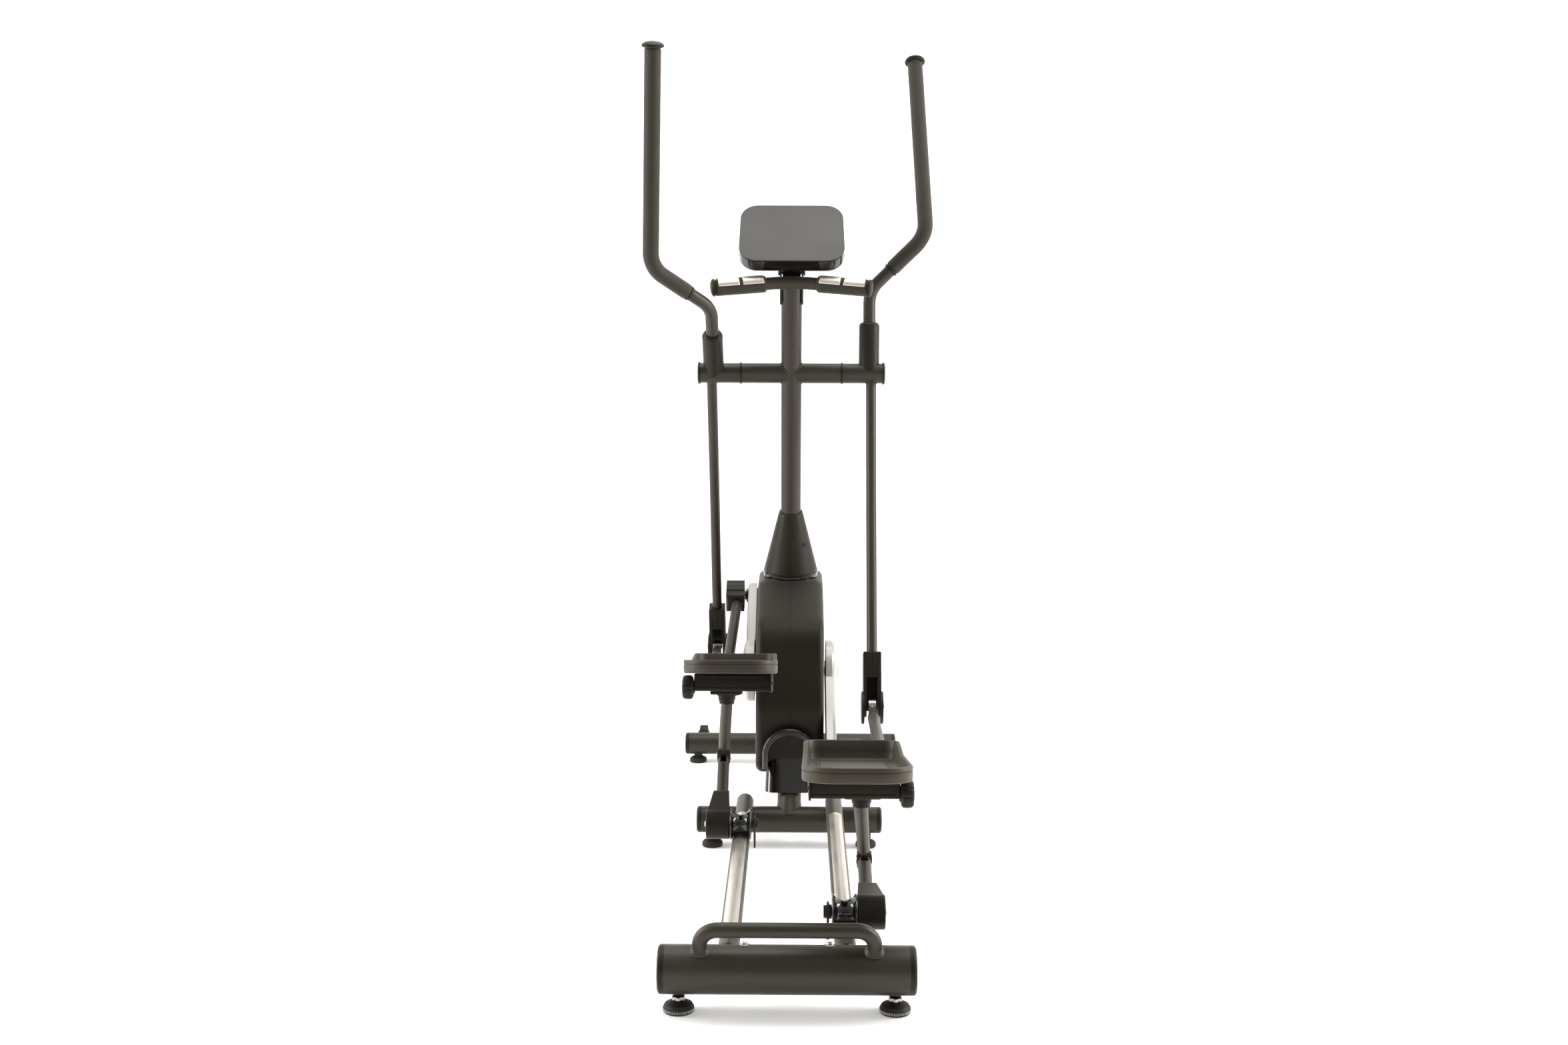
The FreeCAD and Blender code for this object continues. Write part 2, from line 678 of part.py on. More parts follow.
def drive_belt():
    big = Vector(BELT_X - BELT_WIDTH / 2, CRANK_Y, CRANK_Z)
    small = Vector(BELT_X - BELT_WIDTH / 2, FLYWHEEL_Y, FLYWHEEL_Z)
    depth = Vector(BELT_WIDTH, 0, 0)
    outer = Part.Face(tangent_loop(big, PULLEY_R + 3.3, small, SMALL_PULLEY_R + 3.3)).extrude(depth)
    inner = Part.Face(tangent_loop(big, PULLEY_R + 0.3, small, SMALL_PULLEY_R + 0.3)).extrude(depth)
    return outer.cut(inner)


def flywheel():
    shaft = cross_rod(-60, 52, FLYWHEEL_Y, FLYWHEEL_Z, PIVOT_PIN_R + 1)
    disc = cross_rod(-56, -24, FLYWHEEL_Y, FLYWHEEL_Z, FLYWHEEL_R)
    for x_from, x_to in ((-57, -46), (-34, -23)):
        well = cross_rod(x_from, x_to, FLYWHEEL_Y, FLYWHEEL_Z, FLYWHEEL_R - 18)
        disc = disc.cut(well.cut(cross_rod(x_from, x_to, FLYWHEEL_Y, FLYWHEEL_Z, 30)))
    pulley = cross_rod(28, 48, FLYWHEEL_Y, FLYWHEEL_Z, SMALL_PULLEY_R)
    return fuse([shaft, disc, pulley])


def eddy_brake():
    """Fixed magnetic brake shoe under the flywheel, on a leg from the spine."""
    shoe = cross_rod(-58, -22, FLYWHEEL_Y, FLYWHEEL_Z, FLYWHEEL_R + 16)
    shoe = shoe.cut(cross_rod(-60, -20, FLYWHEEL_Y, FLYWHEEL_Z, FLYWHEEL_R + 1.5))
    shoe = shoe.common(box((-60, -20), (FLYWHEEL_Y - 62, FLYWHEEL_Y + 62), (160, 230)))
    leg = box((-25, -14), (FLYWHEEL_Y - 22, FLYWHEEL_Y + 22), (82, 172))
    seat = box((-58, -14), (FLYWHEEL_Y - 22, FLYWHEEL_Y + 22), (158, 172))
    leg = leg.fuse(seat).cut(cross_rod(-60, -10, FLYWHEEL_Y, FLYWHEEL_Z, FLYWHEEL_R + 1.5))
    return fuse([shoe, leg])


def power_inlet():
    """Low-voltage inlet, low on the front of the shroud."""
    y = CRANK_Y + INLET_FORE
    flange = rod(Vector(0, y - 8, INLET_Z), Vector(0, y + 1, INLET_Z), 9)
    barrel = rod(Vector(0, y - 22, INLET_Z), Vector(0, y - 8, INLET_Z), 6.5)
    socket = fuse([flange, barrel])
    return socket.cut(rod(Vector(0, y - 17, INLET_Z), Vector(0, y + 5, INLET_Z), 4))


def crank_arms():
    """Steel crank bars, each with the boss and nut of its pin."""
    arms = []
    centre = Vector(0, CRANK_Y, CRANK_Z)
    for side, sign in SIDES.items():
        pin = REST[side]["pin"]
        blade = tangent_plate(ordered(sign * 79.5, sign * 94), centre, 24, pin, 18)
        boss = cross_rod(sign * 79.5, sign * 106, pin.y, pin.z, 13)
        nut = cross_rod(sign * 104.5, sign * 107.5, pin.y, pin.z, 17)
        tip = cross_rod(sign * 107.5, sign * 110.8, pin.y, pin.z, 11)
        arm = fuse([blade, boss, nut, tip])
        arms.append(arm.cut(cross_rod(-104, 104, CRANK_Y, CRANK_Z, CRANK_AXLE_R)))
    return group(arms)


def crank_covers():
    """Pale shells over the crank bars: a domed disc at the hub runs into the arm."""
    covers = []
    centre = Vector(0, CRANK_Y, CRANK_Z)
    for side, sign in SIDES.items():
        pin = REST[side]["pin"]
        outward = Vector(sign, 0, 0)
        profile = [(0, 0), (70.5, 0), (71, 1), (71, 14), (68.5, 19), (60, 23.5), (45, 26.5), (0, 28)]
        disc = turned(profile, centre + outward * 81.5, outward)
        arm = tangent_plate(ordered(sign * 81.5, sign * 103), centre, 40, pin, 31)
        arm = soften(arm, 9, lambda edge, sign=sign: abs(edge.CenterOfMass.x - sign * 103) < 0.01)
        shell = fuse([disc, arm])
        hollow = tangent_plate(ordered(sign * 79, sign * 94.1), centre, 24.1, pin, 18.1)
        shell = shell.cut(hollow).cut(cross_rod(sign * 79, sign * 104.4, pin.y, pin.z, 13.1))
        covers.append(shell.cut(cross_rod(-104.2, 104.2, CRANK_Y, CRANK_Z, CRANK_AXLE_R + 0.2)))
    return group(covers)


# ---------------------------------------------------------------- one side's linkage
def roller_carriage(side):
    """Roller axle with its bolt head, and the guard plate that keeps the roller on the rail."""
    axle = cross_rod(71, 165, 0, 0, ROLLER_AXLE_R)
    head = cross_rod(61, 66.5, 0, 0, 11)
    shank = cross_rod(66, 71, 0, 0, ROLLER_AXLE_R)
    guard = tangent_plate((66.6, 70.6), ORIGIN, 17, Vector(0, 0, -44), 5)
    collar = cross_rod(70.6, 75, 0, 0, 12)
    whole = fuse([axle, head, shank, guard, collar])
    return placed(on_side(whole, side), 0, REST[side]["roller"])


def roller(side):
    """Spool roller: its groove is concentric with the rail."""
    body = cross_rod(RAIL_X - ROLLER_HALF, RAIL_X + ROLLER_HALF, 0, 0, ROLLER_R)
    body = soften(body, 3, lambda edge: isinstance(edge.Curve, Part.Circle))
    groove = Part.makeTorus(AXLE_ABOVE_RAIL, ROLLER_GROOVE_R, Vector(RAIL_X, 0, 0), X_AXIS)
    body = body.cut(groove)
    body = body.cut(cross_rod(60, 130, 0, 0, ROLLER_AXLE_R + RUNNING))
    for x_from, x_to in ((RAIL_X - ROLLER_HALF, RAIL_X - ROLLER_HALF + 2.5),
                         (RAIL_X + ROLLER_HALF - 2.5, RAIL_X + ROLLER_HALF)):
        face = cross_rod(x_from, x_to, 0, 0, 24).cut(cross_rod(x_from, x_to, 0, 0, 15))
        body = body.cut(face)
    return placed(on_side(body, side), 0, REST[side]["roller"])


def connecting_tube_solid(radius):
    """The slightly arched bar of the connecting arm, in its own frame."""
    route = [
        Vector(CONNECTING_X, 0, 0),
        Vector(CONNECTING_X + 3, 290, 22),
        Vector(CONNECTING_X + 3, 560, 22),
        Vector(CONNECTING_X - 8, CONNECTING_LENGTH, 0),
    ]
    return bent_bar(route, 600, radius)


def connecting_arm(side):
    """Arched arm from the roller's axle to the crank pin, slotted for the pedal arm's tang."""
    rear_hub = cross_rod(121, 158, 0, 0, 21)
    front_hub = cross_rod(114, 154, CONNECTING_LENGTH, 0, 24)
    eye = cross_rod(HINGE_X - HINGE_HALF, HINGE_X + HINGE_HALF, PEDAL_PIVOT_ALONG, PEDAL_PIVOT_UP, 15.5)
    whole = fuse([connecting_tube_solid(CONNECTING_R), rear_hub, front_hub, eye])
    whole = whole.cut(cross_rod(100, 170, 0, 0, ROLLER_AXLE_R + RUNNING))
    pin_bore = cross_rod(100, 170, PEDAL_PIVOT_ALONG, PEDAL_PIVOT_UP, PIVOT_PIN_R + RUNNING)
    slot = box(
        (HINGE_X - 6.3, HINGE_X + 6.3),
        (PEDAL_PIVOT_ALONG - 31, PEDAL_PIVOT_ALONG + 14),
        (PEDAL_PIVOT_UP - 10.5, PEDAL_PIVOT_UP + 40),
    )
    whole = whole.cut(pin_bore).cut(slot)
    whole = whole.cut(cross_rod(113, 150, CONNECTING_LENGTH, 0, 12))
    link = REST[side]
    return placed(on_side(whole, side), link["link_slope"], link["roller"])


def connecting_covers(side):
    """Plastic covers over the arm's rear pivot and over its crank bearing."""
    rear = cross_rod(118.5, 166, 0, 0, 29.6)
    rear = soften(rear, 3, lambda edge: isinstance(edge.Curve, Part.Circle))
    taper = Part.Face(Part.makePolygon([
        Vector(118.5, 0, -40),
        Vector(164, 0, -40),
        Vector(153, 90, -40),
        Vector(123, 90, -40),
        Vector(118.5, 0, -40),
    ])).extrude(Vector(0, 0, 80))
    neck = taper.common(tangent_plate((110, 170), ORIGIN, 29.0, Vector(0, 74, 5), 15.5))
    rear = rear.fuse(neck).removeSplitter()
    rear = rear.cut(cross_rod(120.9, 158.3, 0, 0, 21.2)).cut(cross_rod(110, 165.2, 0, 0, 8.3))
    front = cross_rod(112, 156, CONNECTING_LENGTH, 0, 30)
    skirt = box((112, 156), (CONNECTING_LENGTH - 46, CONNECTING_LENGTH), (-20, 27))
    skirt = soften(skirt, 7, lambda edge: edge.CenterOfMass.y < CONNECTING_LENGTH - 45)
    crown = box((112, 156), (CONNECTING_LENGTH - 20, CONNECTING_LENGTH + 26), (0, 29))
    crown = soften(crown, 6, lambda edge: edge.CenterOfMass.y > CONNECTING_LENGTH + 25)
    front = fuse([front, skirt, crown])
    front = front.cut(cross_rod(113.8, 154.2, CONNECTING_LENGTH, 0, 24.2))
    front = front.cut(cross_rod(111, 114, CONNECTING_LENGTH, 0, 16))
    pieces = [piece.cut(connecting_tube_solid(CONNECTING_R + 0.15)) for piece in (rear, front)]
    link = REST[side]
    return group([placed(on_side(piece, side), link["link_slope"], link["roller"]) for piece in pieces])


def pedal_floor(along, down):
    """Point in the pedal arm's frame: along from the pedal's front edge, down from its underside."""
    pitch = math.radians(PEDAL_PITCH_DEG)
    heading = Vector(0, math.cos(pitch), math.sin(pitch))
    normal = Vector(0, -math.sin(pitch), math.cos(pitch))
    front = Vector(0, PEDAL_FRONT_ALONG, PEDAL_FRONT_UP)
    return front - heading * along - normal * down


def riser_direction():
    """Unit vector from the hinge pin to the saddle under the pedal."""
    return (pedal_saddle() - Vector(HINGE_X, 0, 0)).normalize()


def pedal_saddle():
    """Point where the pedal arm's two bars meet, under the pedal."""
    return pedal_floor(150, 55) + Vector(126.5, 0, 0)


def pedal_arm_route():
    """Centre line of the long bar from the rod end up to the saddle."""
    saddle = pedal_saddle()
    return [
        Vector(SWING_X, PEDAL_ARM_LENGTH - 62, 1),
        Vector(SWING_X, 296, 67),
        Vector(CONNECTING_X, 82, 130),
        Vector(saddle.x, saddle.y + 6, saddle.z - 6),
    ]


def pedal_arm(side):
    """Bent arm from the swing arm's rod end, with a riser down to the connecting arm's hinge."""
    saddle = pedal_saddle()
    hinge = Vector(HINGE_X, 0, 0)
    heading = riser_direction()
    tongue = tangent_plate(
        (SWING_X - 9, SWING_X + 9),
        Vector(0, PEDAL_ARM_LENGTH - 66, 1), 12,
        Vector(0, PEDAL_ARM_LENGTH - 30, 0), 9,
    )
    shoulder = Part.makeCone(7.5, 11.5, 11, hinge + heading * 28, heading)
    riser = rod(hinge + heading * 38.5, saddle, 11.5)
    in_plane = Vector(0, heading.y, heading.z)
    tang = tangent_plate((HINGE_X - 6, HINGE_X + 6), ORIGIN, 9, in_plane * 32, 8)
    pin = cross_rod(HINGE_X - HINGE_HALF - 0.8, HINGE_X + HINGE_HALF + 0.8, 0, 0, PIVOT_PIN_R)
    whole = fuse([bent_bar(pedal_arm_route(), 90, 12.5), tongue, shoulder, riser, tang, pin])
    link = REST[side]
    return placed(on_side(whole, side), link["pedal_slope"], link["pivot"])


def rod_end(side):
    """Steel rod end at the front of the pedal arm: shank, eye and ball."""
    eye = cross_rod(SWING_X - 8, SWING_X + 8, PEDAL_ARM_LENGTH, 0, 15)
    shank = rod(Vector(SWING_X, PEDAL_ARM_LENGTH - 28, 0), Vector(SWING_X, PEDAL_ARM_LENGTH - 8, 0), 7)
    ball = Part.makeSphere(10.8, Vector(SWING_X, PEDAL_ARM_LENGTH, 0))
    whole = fuse([eye, shank, ball])
    tongue = tangent_plate(
        (SWING_X - 9, SWING_X + 9),
        Vector(0, PEDAL_ARM_LENGTH - 66, 1), 12,
        Vector(0, PEDAL_ARM_LENGTH - 30, 0), 9,
    )
    link = REST[side]
    return placed(on_side(whole.cut(tongue), side), link["pedal_slope"], link["pivot"])


def pitched(shape):
    """Shape drawn flat with its front edge at the origin, put under the pedal's pitch."""
    moved = shape.copy()
    turn = Placement(pedal_floor(0, 0), Rotation(X_AXIS, PEDAL_PITCH_DEG))
    moved.Placement = turn.multiply(moved.Placement)
    return moved


def pedal_bracket(side):
    """Channel and saddle that hold the pedal on its arm."""
    channel = box((37, 187), (-262, -70), (-30, 0))
    channel = soften(channel, 4, lambda edge: edge.CenterOfMass.z < -29.9)
    channel = channel.cut(box((41, 183), (-263, -69), (-27, -4)))
    flange = box((96, 158), (-206, -94), (-38, -29))
    flange = soften(flange, 4, lambda edge: abs(edge.CenterOfMass.z + 33.5) < 0.1)
    collar = Part.makeCone(21, 16.5, 19, Vector(127, -150, -37), Vector(0, 0, -1))
    boss = rod(Vector(180, -250, -27.5), Vector(186.9, -250, -27.5), 12)
    whole = fuse([pitched(piece) for piece in (channel, flange, collar, boss)])
    link = REST[side]
    clear = pedal_arm_hollow()
    return placed(on_side(whole.cut(clear), side), link["pedal_slope"], link["pivot"])


def pedal_arm_hollow():
    """The pedal arm's bars near the saddle, slightly larger, to seat the collar on them."""
    leg = rod(pedal_saddle(), Vector(HINGE_X, 0, 0) + riser_direction() * 60, 11.6)
    return bent_bar(pedal_arm_route()[1:], 90, 12.6).fuse(leg)


def pedal(side):
    """Moulded foot tray: raised rim, ribbed floor, high toe guard."""
    heel_half = PEDAL_WIDTH / 2
    toe_half = PEDAL_TOE_WIDTH / 2
    centre = PEDAL_CENTRE_X
    corners = [
        Vector(centre - toe_half, 0, 0),
        Vector(centre + toe_half, 0, 0),
        Vector(centre + heel_half, -PEDAL_LENGTH, 0),
        Vector(centre - heel_half, -PEDAL_LENGTH, 0),
    ]
    outline = Part.Face(rounded_loop(corners, [30, 30, 58, 58]))
    tray = outline.extrude(Vector(0, 0, PEDAL_RIM))
    tray = soften(tray, 4, lambda edge: edge.CenterOfMass.z < 0.01)
    pocket = outline.makeOffset2D(-7).extrude(Vector(0, 0, PEDAL_RIM))
    pocket.translate(Vector(0, 0, PEDAL_FLOOR))
    groove = outline.extrude(Vector(0, 0, 2)).cut(outline.makeOffset2D(-1.4).extrude(Vector(0, 0, 2)))
    groove.translate(Vector(0, 0, PEDAL_RIM - 10))
    tray = tray.cut(pocket).cut(groove)
    toe = outline.extrude(Vector(0, 0, 15)).cut(outline.makeOffset2D(-6).extrude(Vector(0, 0, 15)))
    toe.translate(Vector(0, 0, PEDAL_RIM))
    slope = Part.Face(Part.makePolygon([
        Vector(-200, -118, PEDAL_RIM),
        Vector(-200, 20, PEDAL_RIM + 22),
        Vector(-200, 20, PEDAL_RIM + 60),
        Vector(-200, -400, PEDAL_RIM + 60),
        Vector(-200, -400, PEDAL_RIM),
        Vector(-200, -118, PEDAL_RIM),
    ])).extrude(Vector(600, 0, 0))
    pieces = [tray, toe.cut(slope)]
    for rib in range(9):
        x = centre - 60 + 15 * rib
        pieces.append(box((x - 2, x + 2), (-PEDAL_LENGTH + 50, -48), (PEDAL_FLOOR - 1, PEDAL_FLOOR + 2)))
    whole = pitched(fuse(pieces))
    link = REST[side]
    return placed(on_side(whole, side), link["pedal_slope"], link["pivot"])


def knob_centre():
    """Pedal knob's axis in the pedal arm's frame."""
    return pedal_floor(250, 27.5)


def pedal_knob(side):
    """Round adjusting knob outboard of the pedal bracket."""
    spot = knob_centre()
    profile = [(0, 0), (13, 0), (13, 4), (17, 5), (24, 8), (25, 12), (25, 22), (23, 26.5), (16, 29), (0, 29)]
    knob = turned(profile, spot + Vector(187.3, 0, 0), X_AXIS)
    for step in range(10):
        turn = math.radians(36 * step)
        groove = spot + Vector(191, 27.2 * math.cos(turn), 27.2 * math.sin(turn))
        knob = knob.cut(rod(groove, groove + Vector(30, 0, 0), 3.6))
    link = REST[side]
    return placed(on_side(knob, side), link["pedal_slope"], link["pivot"])


# ---------------------------------------------------------------- swing arms
# Drawn with the arm hanging straight down, the pivot at the origin.
FORK_TOP = -SWING_RADIUS + 84
FORK_SLOT = 12.5
FORK_EAR = 17.0
LOWER_ROUTE = [
    Vector(SWING_X, 0, -10),
    Vector(SWING_X, 13, -330),
    Vector(SWING_X, 0, FORK_TOP - 4),
]
LOWER_BEND = 600.0
HANDLE_ROUTE = [
    Vector(HANDLE_X, -4.9, 20.5),
    Vector(HANDLE_X, -49.4, 179.5),
    Vector(300, -98.0, 292.4),
    Vector(284, -22.0, 738.4),
]
HANDLE_BEND = 63.0


def swing_arm(side):
    """Pivot hub, lower tube and the fork for the rod end."""
    hub = cross_rod(HUB_INNER_X, HUB_OUTER_X, 0, 0, HUB_R)
    lower = bent_bar(LOWER_ROUTE, LOWER_BEND, LOWER_TUBE_R)
    block = box((SWING_X - FORK_EAR, SWING_X + FORK_EAR), (-12, 12), (FORK_TOP - 12, FORK_TOP + 8))
    pieces = [hub, lower, block]
    tip = Vector(0, 0, -SWING_RADIUS)
    for near, far in ((FORK_SLOT, FORK_EAR), (-FORK_SLOT, -FORK_EAR)):
        span = ordered(SWING_X + near, SWING_X + far)
        pieces.append(tangent_plate(span, Vector(0, 0, FORK_TOP - 4), 12, tip, 17))
        pieces.append(cross_rod(SWING_X + near - math.copysign(1.0, near), SWING_X + far, 0, tip.z, 8))
    whole = fuse(pieces)
    whole = whole.cut(cross_rod(100, 220, 0, 0, PIVOT_AXLE_R + RUNNING))
    link = REST[side]
    return placed(on_side(whole, side), link["swing_angle"], Vector(0, SWING_Y, SWING_Z))


def fork_shells():
    """Plastic shell round the fork: two side walls with boss plates, a crown and a front wall."""
    tip = Vector(0, 0, -SWING_RADIUS)
    top = Vector(0, 0, FORK_TOP + 6)
    low_crown = tip.z + 62.5
    pieces = []
    pockets = []
    for sign in (-1, 1):
        near = SWING_X + sign * FORK_SLOT
        wall = SWING_X + sign * (FORK_EAR + 2.5)
        rim = SWING_X + sign * (FORK_EAR + 6.7)
        blade = tangent_plate(ordered(near, wall), top, 19, tip, 25)
        disc = cross_rod(wall - sign * 2, rim, tip.y, tip.z - 4, 36)
        disc = soften(disc, 2, lambda edge, rim=rim: abs(edge.CenterOfMass.x - rim) < 0.01)
        pieces.extend([blade, disc])
        pocket = ordered(SWING_X + sign * (FORK_SLOT - 1), SWING_X + sign * (FORK_EAR + 0.1))
        pockets.append(tangent_plate(pocket, Vector(0, 0, FORK_TOP - 4), 12.1, tip, 17.1))
    half = FORK_EAR + 2.5
    crown = box((SWING_X - half, SWING_X + half), (-18, 18), (low_crown, FORK_TOP + 34))
    crown = soften(crown, 3, lambda edge: edge.CenterOfMass.z > FORK_TOP + 33.9)
    hollow = box((SWING_X - FORK_EAR - 0.1, SWING_X + FORK_EAR + 0.1), (-12.1, 12.1),
                 (FORK_TOP - 15, FORK_TOP + 8.1))
    seam = box((SWING_X - 0.4, SWING_X + 0.4), (-20, -16.8), (low_crown - 1, FORK_TOP + 40))
    slot = tangent_plate(
        (SWING_X - FORK_SLOT, SWING_X + FORK_SLOT),
        Vector(0, 0, tip.z + 50), FORK_SLOT, tip - Vector(0, 0, 80), 60,
    )
    inner = (SWING_X - FORK_SLOT, SWING_X + FORK_SLOT)
    front = tangent_plate((SWING_X - half, SWING_X + half), top, 22, tip, 28)
    front = front.cut(tangent_plate(inner, top, 20, tip, 26))
    front = front.cut(box((100, 230), (-60, 7), (tip.z - 60, FORK_TOP + 60)))
    front = front.cut(box((100, 230), (-60, 60), (tip.z - 60, tip.z - 10)))
    whole = fuse(pieces + [crown]).cut(seam).cut(slot)
    whole = whole.fuse(front).removeSplitter().cut(hollow)
    for pocket in pockets:
        whole = whole.cut(pocket)
    whole = whole.cut(bent_bar(LOWER_ROUTE, LOWER_BEND, LOWER_TUBE_R + 0.2))
    return list(whole.Solids)


def swing_covers(side):
    """Plastic fork shells, sleeve over the handlebar joint and hub end cap."""
    sleeve = turned(
        [(0, 0), (23, 0), (23, 108), (21, 112), (18, 115), (0, 115)],
        Vector(HANDLE_X, 0.9, 0),
        Vector(0, -0.28, 1),
    )
    sleeve = sleeve.cut(cross_rod(100, 230, 0, 0, HUB_R + 0.2))
    sleeve = sleeve.cut(bent_bar(HANDLE_ROUTE, HANDLE_BEND, HANDLE_R + 0.2))
    cap = turned(
        [(0, 0), (HUB_R + 2.5, 0), (HUB_R + 2.5, 3), (HUB_R, 5.5), (0, 5.5)],
        Vector(HUB_OUTER_X, 0, 0),
        X_AXIS,
    )
    inboard = cross_rod(112.3, HUB_INNER_X, 0, 0, HUB_R + 2).cut(cross_rod(110, 120, 0, 0, 18.3))
    pieces = fork_shells() + list(sleeve.Solids) + [cap, inboard]
    link = REST[side]
    pivot = Vector(0, SWING_Y, SWING_Z)
    return group([placed(on_side(piece, side), link["swing_angle"], pivot) for piece in pieces])


def swing_handlebar(side):
    link = REST[side]
    tube = bent_bar(HANDLE_ROUTE, HANDLE_BEND, HANDLE_R)
    tube = tube.cut(cross_rod(100, 230, 0, 0, HUB_R))
    return placed(on_side(tube, side), link["swing_angle"], Vector(0, SWING_Y, SWING_Z))


def grip_start():
    """Where the foam begins, part of the way along the slanted run."""
    return HANDLE_ROUTE[1] + (HANDLE_ROUTE[2] - HANDLE_ROUTE[1]) * 0.40


def swing_grip(side):
    """Foam grip from the slanted run to the top of the handlebar."""
    route = [grip_start(), HANDLE_ROUTE[2], HANDLE_ROUTE[3]]
    foam = bent_bar(route, HANDLE_BEND, GRIP_R).cut(bent_bar(route, HANDLE_BEND, HANDLE_R + 0.1))
    link = REST[side]
    return placed(on_side(foam, side), link["swing_angle"], Vector(0, SWING_Y, SWING_Z))


def grip_cap(side):
    """Mushroom cap on the end of the foam grip."""
    heading = (HANDLE_ROUTE[3] - HANDLE_ROUTE[2]).normalize()
    profile = [(0, 0), (18.5, 0), (23, 2), (23.5, 4), (21.5, 8), (15, 11.5), (7, 13), (0, 13.2)]
    cap = turned(profile, HANDLE_ROUTE[3] + heading * 0.2, heading)
    link = REST[side]
    return placed(on_side(cap, side), link["swing_angle"], Vector(0, SWING_Y, SWING_Z))


# ---------------------------------------------------------------- fixed handlebar and console
FIXED_BAR_Y = mast_y(MAST_TOP_Z - 4) - MAST_R - 12
FIXED_BAR_Z = 1238.0
FIXED_BAR_R = 14.0
FIXED_GRIP_R = 19.0
FIXED_BEND = 120.0
FIXED_ROUTE = [
    Vector(-168, FIXED_BAR_Y - 26, FIXED_BAR_Z - 12),
    Vector(-30, FIXED_BAR_Y, FIXED_BAR_Z),
    Vector(30, FIXED_BAR_Y, FIXED_BAR_Z),
    Vector(168, FIXED_BAR_Y - 26, FIXED_BAR_Z - 12),
]
CONSOLE_PIVOT = Vector(0, mast_y(1262), 1262)
CONSOLE_TILT_DEG = 40.0
CONSOLE_WIDTH = 234.0
CONSOLE_HEIGHT = 168.0
CONSOLE_DEPTH = 40.0
CONSOLE_FRONT = -62.0
CONSOLE_CORNER = 40.0


def fixed_handlebar():
    bar = bent_bar(FIXED_ROUTE, FIXED_BEND, FIXED_BAR_R)
    low = Vector(0, mast_y(MAST_BASE_Z), MAST_BASE_Z)
    high = Vector(0, mast_y(MAST_TOP_Z), MAST_TOP_Z)
    return bar.cut(rod(low, high + MAST_AXIS * 30, MAST_R))


def fixed_grip_route(side):
    """Start and end of one fixed grip, on the bar's outer run."""
    outer = FIXED_ROUTE[3]
    inner = FIXED_ROUTE[2]
    heading = (outer - inner).normalize()
    return inner + heading * 28, outer - heading * 1


def fixed_grips():
    start, end = fixed_grip_route("right")
    grip = rod(start, end, FIXED_GRIP_R)
    grip = soften(grip, 2, lambda edge: isinstance(edge.Curve, Part.Circle))
    grip = grip.cut(bent_bar(FIXED_ROUTE, FIXED_BEND, FIXED_BAR_R + 0.1))
    heading = (end - start).normalize()
    cap = turned([(0, 0), (19, 0), (19.5, 2), (18, 5), (13, 8), (0, 9)], end + heading * 1.2, heading)
    return group([grip, cap, mirrored(grip), mirrored(cap)])


def pulse_contacts():
    """Metal pads on the tops of the fixed grips, two on each."""
    start, end = fixed_grip_route("right")
    heading = (end - start).normalize()
    length = (end - start).Length
    lower_edge = Vector(0, 0, 3)
    pads = []
    for share_from, share_to in ((0.04, 0.46), (0.54, 0.96)):
        low = start + heading * (length * share_from)
        high = start + heading * (length * share_to)
        band = pipe(low, high, FIXED_GRIP_R + 1.2, FIXED_GRIP_R + 0.1)
        corners = []
        for x in (low.x - 20, high.x + 20):
            on_axis = start + heading * ((x - start.x) / heading.x) + lower_edge
            corners.append(Vector(x, -500, on_axis.z))
        corners.append(corners[1] + Vector(0, 0, 60))
        corners.append(corners[0] + Vector(0, 0, 60))
        corners.append(corners[0])
        keep = Part.Face(Part.makePolygon(corners)).extrude(Vector(0, 1000, 0))
        pads.append(band.common(keep))
    return group(pads + [mirrored(pad) for pad in pads])


def console_placed(shape):
    """Shape drawn upright with the console pivot at the origin, tilted back."""
    moved = shape.copy()
    moved.Placement = Placement(CONSOLE_PIVOT, Rotation(X_AXIS, -CONSOLE_TILT_DEG)).multiply(moved.Placement)
    return moved


def console_block(margin, front, back):
    """Rounded slab of the console, drawn upright: front faces the user."""
    half = CONSOLE_WIDTH / 2 - margin
    low = -22 + margin
    high = -22 + CONSOLE_HEIGHT - margin
    corners = [
        Vector(-half, front, low),
        Vector(half, front, low),
        Vector(half - 4, front, high),
        Vector(-half + 4, front, high),
    ]
    face = Part.Face(rounded_loop(corners, [CONSOLE_CORNER - margin] * 4))
    return face.extrude(Vector(0, back - front, 0))


def console_housing():
    """Body of the console with its pivot lug, pin and pin heads."""
    slab = console_block(0.8, CONSOLE_FRONT + 6, CONSOLE_FRONT + CONSOLE_DEPTH)
    slab = soften(slab, 9, lambda edge: edge.CenterOfMass.y > CONSOLE_FRONT + CONSOLE_DEPTH - 0.01)
    neck = console_block(6, CONSOLE_FRONT + 3, CONSOLE_FRONT + 7)
    hump = box((-20, 20), (CONSOLE_FRONT + CONSOLE_DEPTH - 8, 9), (-9, 56))
    hump = soften(hump, 5, lambda edge: edge.CenterOfMass.y > 8.9)
    pin = cross_rod(-30, 30, 0, 0, 4)
    heads = [cross_rod(26.4, 30, 0, 0, 7), cross_rod(-30, -26.4, 0, 0, 7)]
    return console_placed(fuse([slab, neck, hump, pin] + heads))


def console_face():
    """Flat front plate of the console."""
    plate = console_block(0, CONSOLE_FRONT, CONSOLE_FRONT + 3)
    return console_placed(soften(plate, 0.8, lambda edge: edge.CenterOfMass.y < CONSOLE_FRONT + 0.01))


